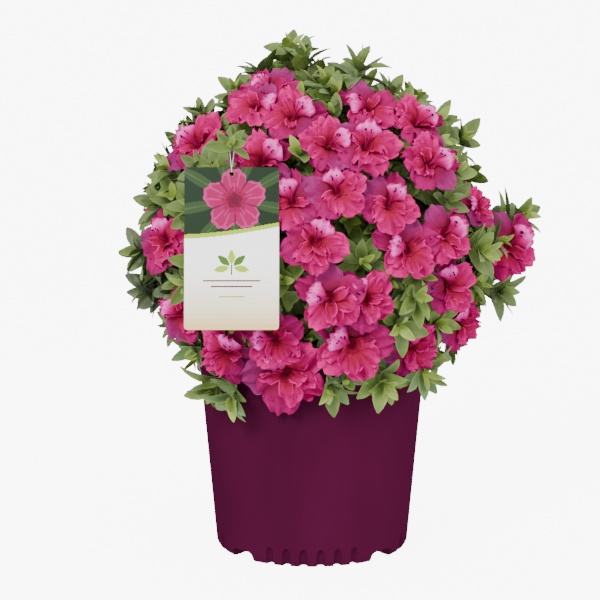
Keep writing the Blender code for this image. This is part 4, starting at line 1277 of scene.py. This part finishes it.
def cut_drains(pot, finish):
    """Arched drain openings in the corner between the wall and the floor."""
    arches = bmesh.new()
    for bearing in DRAIN_BEARINGS:
        out = heading(bearing, 0.0)
        aside = out.cross(UP)
        ends = []
        for reach in (FOOT_RADIUS - DRAIN_DEPTH, FOOT_RADIUS + FOOT_HEIGHT):
            ring = []
            for angle in turns(DRAIN_SIDES, 0.5):
                wide = copysign(abs(cos(angle)) ** DRAIN_SQUARENESS, cos(angle))
                tall = copysign(abs(sin(angle)) ** DRAIN_SQUARENESS, sin(angle))
                over = aside * (DRAIN_HALF_WIDTH * wide) + UP * (DRAIN_HEIGHT * tall)
                ring.append(arches.verts.new(out * reach + over))
            ends.append(ring)
        add_skin(arches, ends, ends)
    cutter = piece_from(arches, "drain_cutter", [finish])
    cut = pot.modifiers.new("drains", "BOOLEAN")
    cut.operation = "DIFFERENCE"
    cut.object = cutter
    graph = bpy.context.evaluated_depsgraph_get()
    shaped = bpy.data.meshes.new_from_object(pot.evaluated_get(graph))
    pot.modifiers.remove(cut)
    pot.data = shaped
    shaped.shade_smooth()
    shaped.set_sharp_from_angle(angle=radians(40.0))
    bpy.data.objects.remove(cutter, do_unlink=True)


# ---- Bark mix ----
CHIP_COUNT = 1500
CHIP_SIDES = 7
CHIP_LENGTH = 1.6
# A chip's outline from its underside to its top, as (height, share of its width).
CHIP_LEVELS = ((-0.24, 0.05), (-0.24, 0.80), (0.06, 1.0), (0.264, 0.75), (0.288, 0.05))
CHIP_SIZES = (0.0022, 0.0052)
CHIP_RISE = 0.002
CHIP_KINDS = 9
CHIP_UNEVEN = 0.06
CHIP_LEAN = 0.5
CHIP_SPREAD = 0.96
MIX_RINGS = 24
MIX_SIDES = 40
MIX_ROUGHNESS = 0.001


def chip_shape(seed):
    """A flat angular chip of bark."""
    rng = random.Random(seed)
    outline = [rng.uniform(0.6, 1.0) for _ in range(CHIP_SIDES)]
    points = []
    for height, share in CHIP_LEVELS:
        for reach, angle in zip(outline, turns(CHIP_SIDES)):
            points.append((reach * share * cos(angle) * CHIP_LENGTH, reach * share * sin(angle),
                           height + sway(rng, CHIP_UNEVEN)))
    return Shape(points, grid_faces(len(CHIP_LEVELS) - 1, CHIP_SIDES, closed=True), 0)


def mix_height(x, y):
    """The mix's surface: a low mound towards the stem."""
    radius = hypot(x, y)
    return MIX_TOP + (MIX_HIGH.z - MIX_TOP) * max(0.0, 1.0 - radius / wall_radius(MIX_TOP)) * 1.2 - 0.002


def build_mix():
    """The fill of bark mix, with loose chips on it."""
    tones = [surface("bark_mix_dark", (0.030, 0.019, 0.012), 0.95, 0.5, 300.0, 0.8, 900.0, specular=0.15),
             surface("bark_mix_brown", (0.075, 0.043, 0.024), 0.92, 0.5, 300.0, 0.8, 900.0, specular=0.15),
             surface("bark_mix_tan", (0.150, 0.100, 0.062), 0.90, 0.4, 300.0, 0.8, 900.0, specular=0.15)]
    rng = random.Random(SEED + 7)
    heap = Heap()
    limit = wall_radius(MIX_TOP) - WALL - 0.001
    rings = []
    for i in range(MIX_RINGS):
        reach = limit * (i + 0.02) / (MIX_RINGS - 1)
        for angle in turns(MIX_SIDES):
            x, y = reach * cos(angle), reach * sin(angle)
            rings.append((x, y, mix_height(x, y) + sway(rng, MIX_ROUGHNESS)))
    heap.add(Shape(rings, grid_faces(MIX_RINGS - 1, MIX_SIDES, closed=True), 0))
    chips = [chip_shape(300 + i) for i in range(CHIP_KINDS)]
    for _ in range(CHIP_COUNT):
        reach = limit * sqrt(rng.random()) * CHIP_SPREAD
        angle = rng.uniform(0.0, tau)
        x, y = reach * cos(angle), reach * sin(angle)
        normal = Vector((sway(rng, CHIP_LEAN), sway(rng, CHIP_LEAN), 1.0)).normalized()
        side, other = across(normal)
        spin = rng.uniform(0.0, tau)
        along = side * cos(spin) + other * sin(spin)
        turn = np.array([along, normal.cross(along), normal]).T
        scale = rng.uniform(*CHIP_SIZES)
        heap.add(rng.choice(chips), turn, (x, y, mix_height(x, y) + rng.uniform(0.0, CHIP_RISE)), scale,
                 (rng.choice((0, 0, 1, 1, 2)),))
    mix = heap.build("bark_mix_surface", tones)
    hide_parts("potting_mix")
    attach(mix, "root")


# ---- Hang tag ----
TAG_THICKNESS = 0.0006
TAG_COLUMNS = 132
TAG_ROWS = 226
BACK_COLUMNS = 44
BACK_ROWS = 74
EDGE_STEPS = 240
TAG_BOW = 0.0005
TAG_HOLE_RADIUS = 0.0026
TAG_HOLE_DROP = 0.007
CORNER_RADIUS = 0.004
FADE_STEPS = 12
PANEL_FLOWER = (0.53, 0.795)
PANEL_FLOWER_RADIUS = 0.0335
BAND_WIDTH = 0.026
SPRIG_PLACE = (0.5, 0.385)
# Plain printed lines, as (share of the card's height, half of the length as a share of its width, tone).
PRINT_LINES = ((0.300, 0.30, "wine"), (0.265, 0.22, "wine"), (0.205, 0.14, "lime"))
PRINT_LINE_HALF = 0.004
FADE_TOP = 0.40
LOOP_RADIUS = 0.00045
LOOP_SOLID_RADIUS = 0.0008
LOOP_LOW_RADIUS = 0.0026
LOOP_GAP = 0.0003


def tag_tone(x, y):
    """The printed colour at a place on the card, with x and y from its lower left corner in metres."""
    across_card = x / TAG_WIDTH
    up_card = y / TAG_HEIGHT
    from_flower = (x - TAG_WIDTH * PANEL_FLOWER[0], y - TAG_HEIGHT * PANEL_FLOWER[1])
    flower = flower_tone(*from_flower)
    if flower:
        return flower
    arc = 0.560 + 0.075 * across_card ** 1.6
    if up_card > arc + BAND_WIDTH:
        return ground_tone(*from_flower)
    if up_card > arc:
        return "lime"
    sprig = sprig_tone(x - TAG_WIDTH * SPRIG_PLACE[0], y - TAG_HEIGHT * SPRIG_PLACE[1])
    if sprig:
        return sprig
    for level, reach, tone in PRINT_LINES:
        if abs(up_card - level) < PRINT_LINE_HALF and abs(across_card - 0.5) < reach:
            return tone
    share = 1.0 - up_card / FADE_TOP
    return f"fade_{int(np.clip(share * FADE_STEPS, 0, FADE_STEPS - 1))}"


def flower_tone(x, y):
    """A plain flower of five broad petals, or nothing beyond it."""
    radius = hypot(x, y)
    angle = atan2(y, x)
    lobe = abs(cos(2.5 * (angle - 0.35)))
    reach = PANEL_FLOWER_RADIUS * (0.66 + 0.34 * lobe ** 0.7) + 0.0008 * sin(23.0 * angle)
    if radius > reach:
        return None
    share = radius / reach
    if share < 0.14:
        return "wine"
    if 0.30 < share < 0.56 and lobe > 0.997:
        return "rose_light"
    if share < 0.26 or lobe < 0.10:
        return "rose_deep"
    if share > 0.90 or (0.90 > lobe > 0.80 and share > 0.45):
        return "rose_light"
    return "rose" if share > 0.42 else "rose_mid"


def ground_tone(x, y):
    """Dark green behind the flower, with paler leaves that fan out from it."""
    radius = hypot(x, y)
    angle = atan2(y, x)
    blade = abs(sin(4.5 * angle + 0.8))
    limit = 0.36 + 0.50 * sin(pi * min(radius / 0.062, 1.0))
    if blade < limit * 0.75:
        return "green_soft" if blade > 0.05 else "green_vein"
    return "green_deep"


def sprig_tone(x, y):
    """A little sprig of five leaves, or nothing beyond it."""
    for turn in (-100.0, -50.0, 0.0, 50.0, 100.0):
        swing = radians(turn)
        along = x * sin(swing) + y * cos(swing)
        aside = x * cos(swing) - y * sin(swing)
        if 0.002 < along < 0.019 and abs(aside) < 0.0036 * sin(pi * (along - 0.002) / 0.017):
            return "lime" if abs(turn) > 60.0 or turn == 0.0 else "leaf_print"
    if abs(x) < 0.0005 and -0.008 < y < 0.002:
        return "leaf_print"
    return None


TAG_TONES = {
    "cream": (0.97, 0.97, 0.955),
    "lime": (0.30, 0.44, 0.02),
    "green_deep": (0.010, 0.022, 0.010),
    "green_soft": (0.026, 0.052, 0.018),
    "green_vein": (0.050, 0.090, 0.032),
    "rose": (0.260, 0.006, 0.070),
    "rose_mid": (0.210, 0.004, 0.048),
    "rose_deep": (0.120, 0.003, 0.024),
    "rose_light": (0.360, 0.024, 0.130),
    "wine": (0.090, 0.004, 0.020),
    "leaf_print": (0.060, 0.130, 0.016),
}
FADE_ENDS = ((0.97, 0.97, 0.955), (0.66, 0.49, 0.21))


def tag_tones():
    """The plain tones, and the steps of the fade from white to tan at the card's foot."""
    tones = dict(TAG_TONES)
    for i in range(FADE_STEPS):
        share = (i / (FADE_STEPS - 1)) ** 1.3
        tones[f"fade_{i}"] = tuple(a + (b - a) * share for a, b in zip(*FADE_ENDS))
    return tones


def rounded_card(x, y):
    """Places on the card, with those in its corners drawn in to the corners' arcs."""
    x, y = np.array(x, float), np.array(y, float)
    for across_card in (CORNER_RADIUS, TAG_WIDTH - CORNER_RADIUS):
        for up_card in (CORNER_RADIUS, TAG_HEIGHT - CORNER_RADIUS):
            dx, dy = x - across_card, y - up_card
            corner = ((dx < 0) == (across_card < TAG_WIDTH / 2)) & ((dy < 0) == (up_card < TAG_HEIGHT / 2))
            reach = np.maximum(np.abs(dx), np.abs(dy)) / np.maximum(np.hypot(dx, dy), 1e-9)
            x = np.where(corner, across_card + dx * reach, x)
            y = np.where(corner, up_card + dy * reach, y)
    return x, y


def on_card(x, y, depth):
    """Points in space for places on the card, which bows a little."""
    bow = TAG_BOW * np.cos((x / TAG_WIDTH - 0.5) * pi) + depth
    origin = TAG_TOP - TAG_RIGHT * TAG_WIDTH / 2 - TAG_UP * TAG_HEIGHT
    return np.outer(x, TAG_RIGHT) + np.outer(y, TAG_UP) + np.outer(bow, TAG_OUT) + np.array(origin)


def card_face(columns, rows, depth, tone_of):
    """One side of the card, with its round hole."""
    hole = np.array((TAG_WIDTH / 2, TAG_HEIGHT - TAG_HOLE_DROP))
    across_card, up_card = np.meshgrid(np.linspace(0.0, TAG_WIDTH, columns + 1),
                                       np.linspace(0.0, TAG_HEIGHT, rows + 1))
    x, y = rounded_card(across_card.ravel(), up_card.ravel())
    away = np.hypot(x - hole[0], y - hole[1])
    cell = TAG_WIDTH / columns
    near = (away < TAG_HOLE_RADIUS + cell * 0.6) & (away > TAG_HOLE_RADIUS - cell * 0.8) & (away > 1e-6)
    push = np.where(near, TAG_HOLE_RADIUS / np.maximum(away, 1e-6), 1.0)
    x = hole[0] + (x - hole[0]) * push
    y = hole[1] + (y - hole[1]) * push
    faces = grid_faces(rows, columns)
    middle_x, middle_y = x[faces].mean(axis=1), y[faces].mean(axis=1)
    kept = np.hypot(middle_x - hole[0], middle_y - hole[1]) > TAG_HOLE_RADIUS * 0.9
    slots = [tone_of(*place) for place in zip(middle_x[kept], middle_y[kept])]
    return Shape(on_card(x, y, depth), faces[kept], np.array(slots))


def card_edge(slot):
    """The card's cut edge."""
    legs = np.arange(EDGE_STEPS) / EDGE_STEPS * 4.0
    x, y = rounded_card(np.interp(legs, range(5), (0.0, TAG_WIDTH, TAG_WIDTH, 0.0, 0.0)),
                        np.interp(legs, range(5), (0.0, 0.0, TAG_HEIGHT, TAG_HEIGHT, 0.0)))
    rings = [on_card(x, y, depth) for depth in (-TAG_THICKNESS / 2, TAG_THICKNESS / 2)]
    return Shape(np.concatenate(rings), grid_faces(1, EDGE_STEPS, closed=True), slot)


def build_tag():
    """The printed card, with its back and edge."""
    tones = tag_tones()
    names = list(tones)
    finishes = [surface(f"tag_{name}", colour, 0.42, 0.03, 40.0, 0.05, 500.0, specular=0.12)
                for name, colour in tones.items()]
    plain = names.index("cream")
    heap = Heap()
    heap.add(card_face(TAG_COLUMNS, TAG_ROWS, TAG_THICKNESS / 2, lambda x, y: names.index(tag_tone(x, y))))
    heap.add(card_face(BACK_COLUMNS, BACK_ROWS, -TAG_THICKNESS / 2, lambda x, y: plain))
    heap.add(card_edge(plain))
    tag = heap.build("printed_tag", finishes)
    tag.data.set_sharp_from_angle(angle=radians(30.0))
    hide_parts("hang_tag")
    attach(tag, "root")


def build_loop():
    """A thin cord round the tag's twig above, and through the tag's hole below."""
    white = surface("loop_cord", (0.52, 0.53, 0.50), 0.35, 0.10, 200.0, 0.2, 1500.0)
    over = tag_twig_place()
    top_radius = (LOOP_HIGH.x - LOOP_LOW.x) / 2 - LOOP_SOLID_RADIUS
    low_drop = TAG_HOLE_DROP - TAG_HOLE_RADIUS + LOOP_GAP + LOOP_RADIUS - LOOP_LOW_RADIUS
    low = TAG_TOP - TAG_UP * low_drop
    swings = np.linspace(0.0, pi, 13)
    crest = [over + (UP * sin(swing) - TAG_RIGHT * cos(swing)) * top_radius for swing in swings]
    turn = [low - (TAG_OUT * cos(swing) + TAG_UP * sin(swing)) * LOOP_LOW_RADIUS for swing in swings]
    places = crest + [crest[-1].lerp(turn[0], t / 6) for t in range(1, 6)]
    places += turn + [turn[-1].lerp(crest[0], t / 6) for t in range(1, 7)]
    heap = Heap()
    heap.add(tube(places, [LOOP_RADIUS] * len(places), 10))
    cord = heap.build("tag_cord", [white])
    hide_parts("tag_loop")
    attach(cord, "root")


# ---- Stage, light and camera ----
def build_stage():
    """A round pale floor that sweeps up into a pale wall all round."""
    made = bmesh.new()
    run = [(0.01, 0.0), (1.0, 0.0), (STAGE_FLAT, 0.0)]
    for i in range(1, STAGE_STEPS + 1):
        angle = radians(90.0 * i / STAGE_STEPS)
        run.append((STAGE_FLAT + STAGE_SWEEP * sin(angle), STAGE_SWEEP * (1.0 - cos(angle))))
    run.append((STAGE_FLAT + STAGE_SWEEP, STAGE_HEIGHT))
    rings = []
    for radius, height in run:
        ring = []
        for angle in turns(STAGE_SIDES):
            place = (radius * cos(angle), radius * sin(angle), height - STAGE_DROP)
            ring.append(made.verts.new(place))
        rings.append(ring)
    add_skin(made, rings, (rings[0],))
    pale = bpy.data.materials.new("pale_floor")
    pale.use_nodes = True
    inputs = pale.node_tree.nodes["Principled BSDF"].inputs
    inputs["Base Color"].default_value = (0.88, 0.88, 0.88, 1.0)
    inputs["Roughness"].default_value = 0.9
    inputs["Specular IOR Level"].default_value = 0.1
    inputs["Emission Color"].default_value = (1.0, 1.0, 1.0, 1.0)
    inputs["Emission Strength"].default_value = FLOOR_GLOW
    floor = piece_from(made, "floor", [pale])
    floor.data.shade_smooth()
    floor.visible_diffuse = False
    floor.visible_glossy = False


def add_area(name, place, size, power):
    """A round soft light, turned to the middle of the plant."""
    light = bpy.data.lights.new(name, "AREA")
    light.shape = "DISK"
    light.size = size
    light.energy = power
    lamp = placed(name, light)
    lamp.location = place
    lamp.rotation_euler = (LIGHT_AIM - Vector(place)).to_track_quat("-Z", "Y").to_euler()


def build_light():
    """An even pale sky, a key light from the left and a weak fill from the right."""
    world = bpy.data.worlds.new("studio")
    world.use_nodes = True
    sky = world.node_tree.nodes["Background"]
    sky.inputs["Color"].default_value = (1.0, 1.0, 1.0, 1.0)
    sky.inputs["Strength"].default_value = SKY_STRENGTH
    bpy.context.scene.world = world
    add_area("key", KEY_PLACE, KEY_SIZE, KEY_POWER)
    add_area("fill", FILL_PLACE, FILL_SIZE, FILL_POWER)


def build_camera():
    """The camera at the photograph's viewing angle."""
    data = bpy.data.cameras.new("camera")
    data.lens = CAMERA_LENS
    data.sensor_width = CAMERA_SENSOR
    data.shift_x = CAMERA_SHIFT
    camera = placed("camera", data)
    camera.location = CAMERA_PLACE
    camera.rotation_euler = (radians(90.0 - CAMERA_PITCH), 0.0, 0.0)
    bpy.context.scene.camera = camera


build_camera()
build_pot()
build_mix()
build_plant()
build_tag()
build_loop()
build_stage()
build_light()
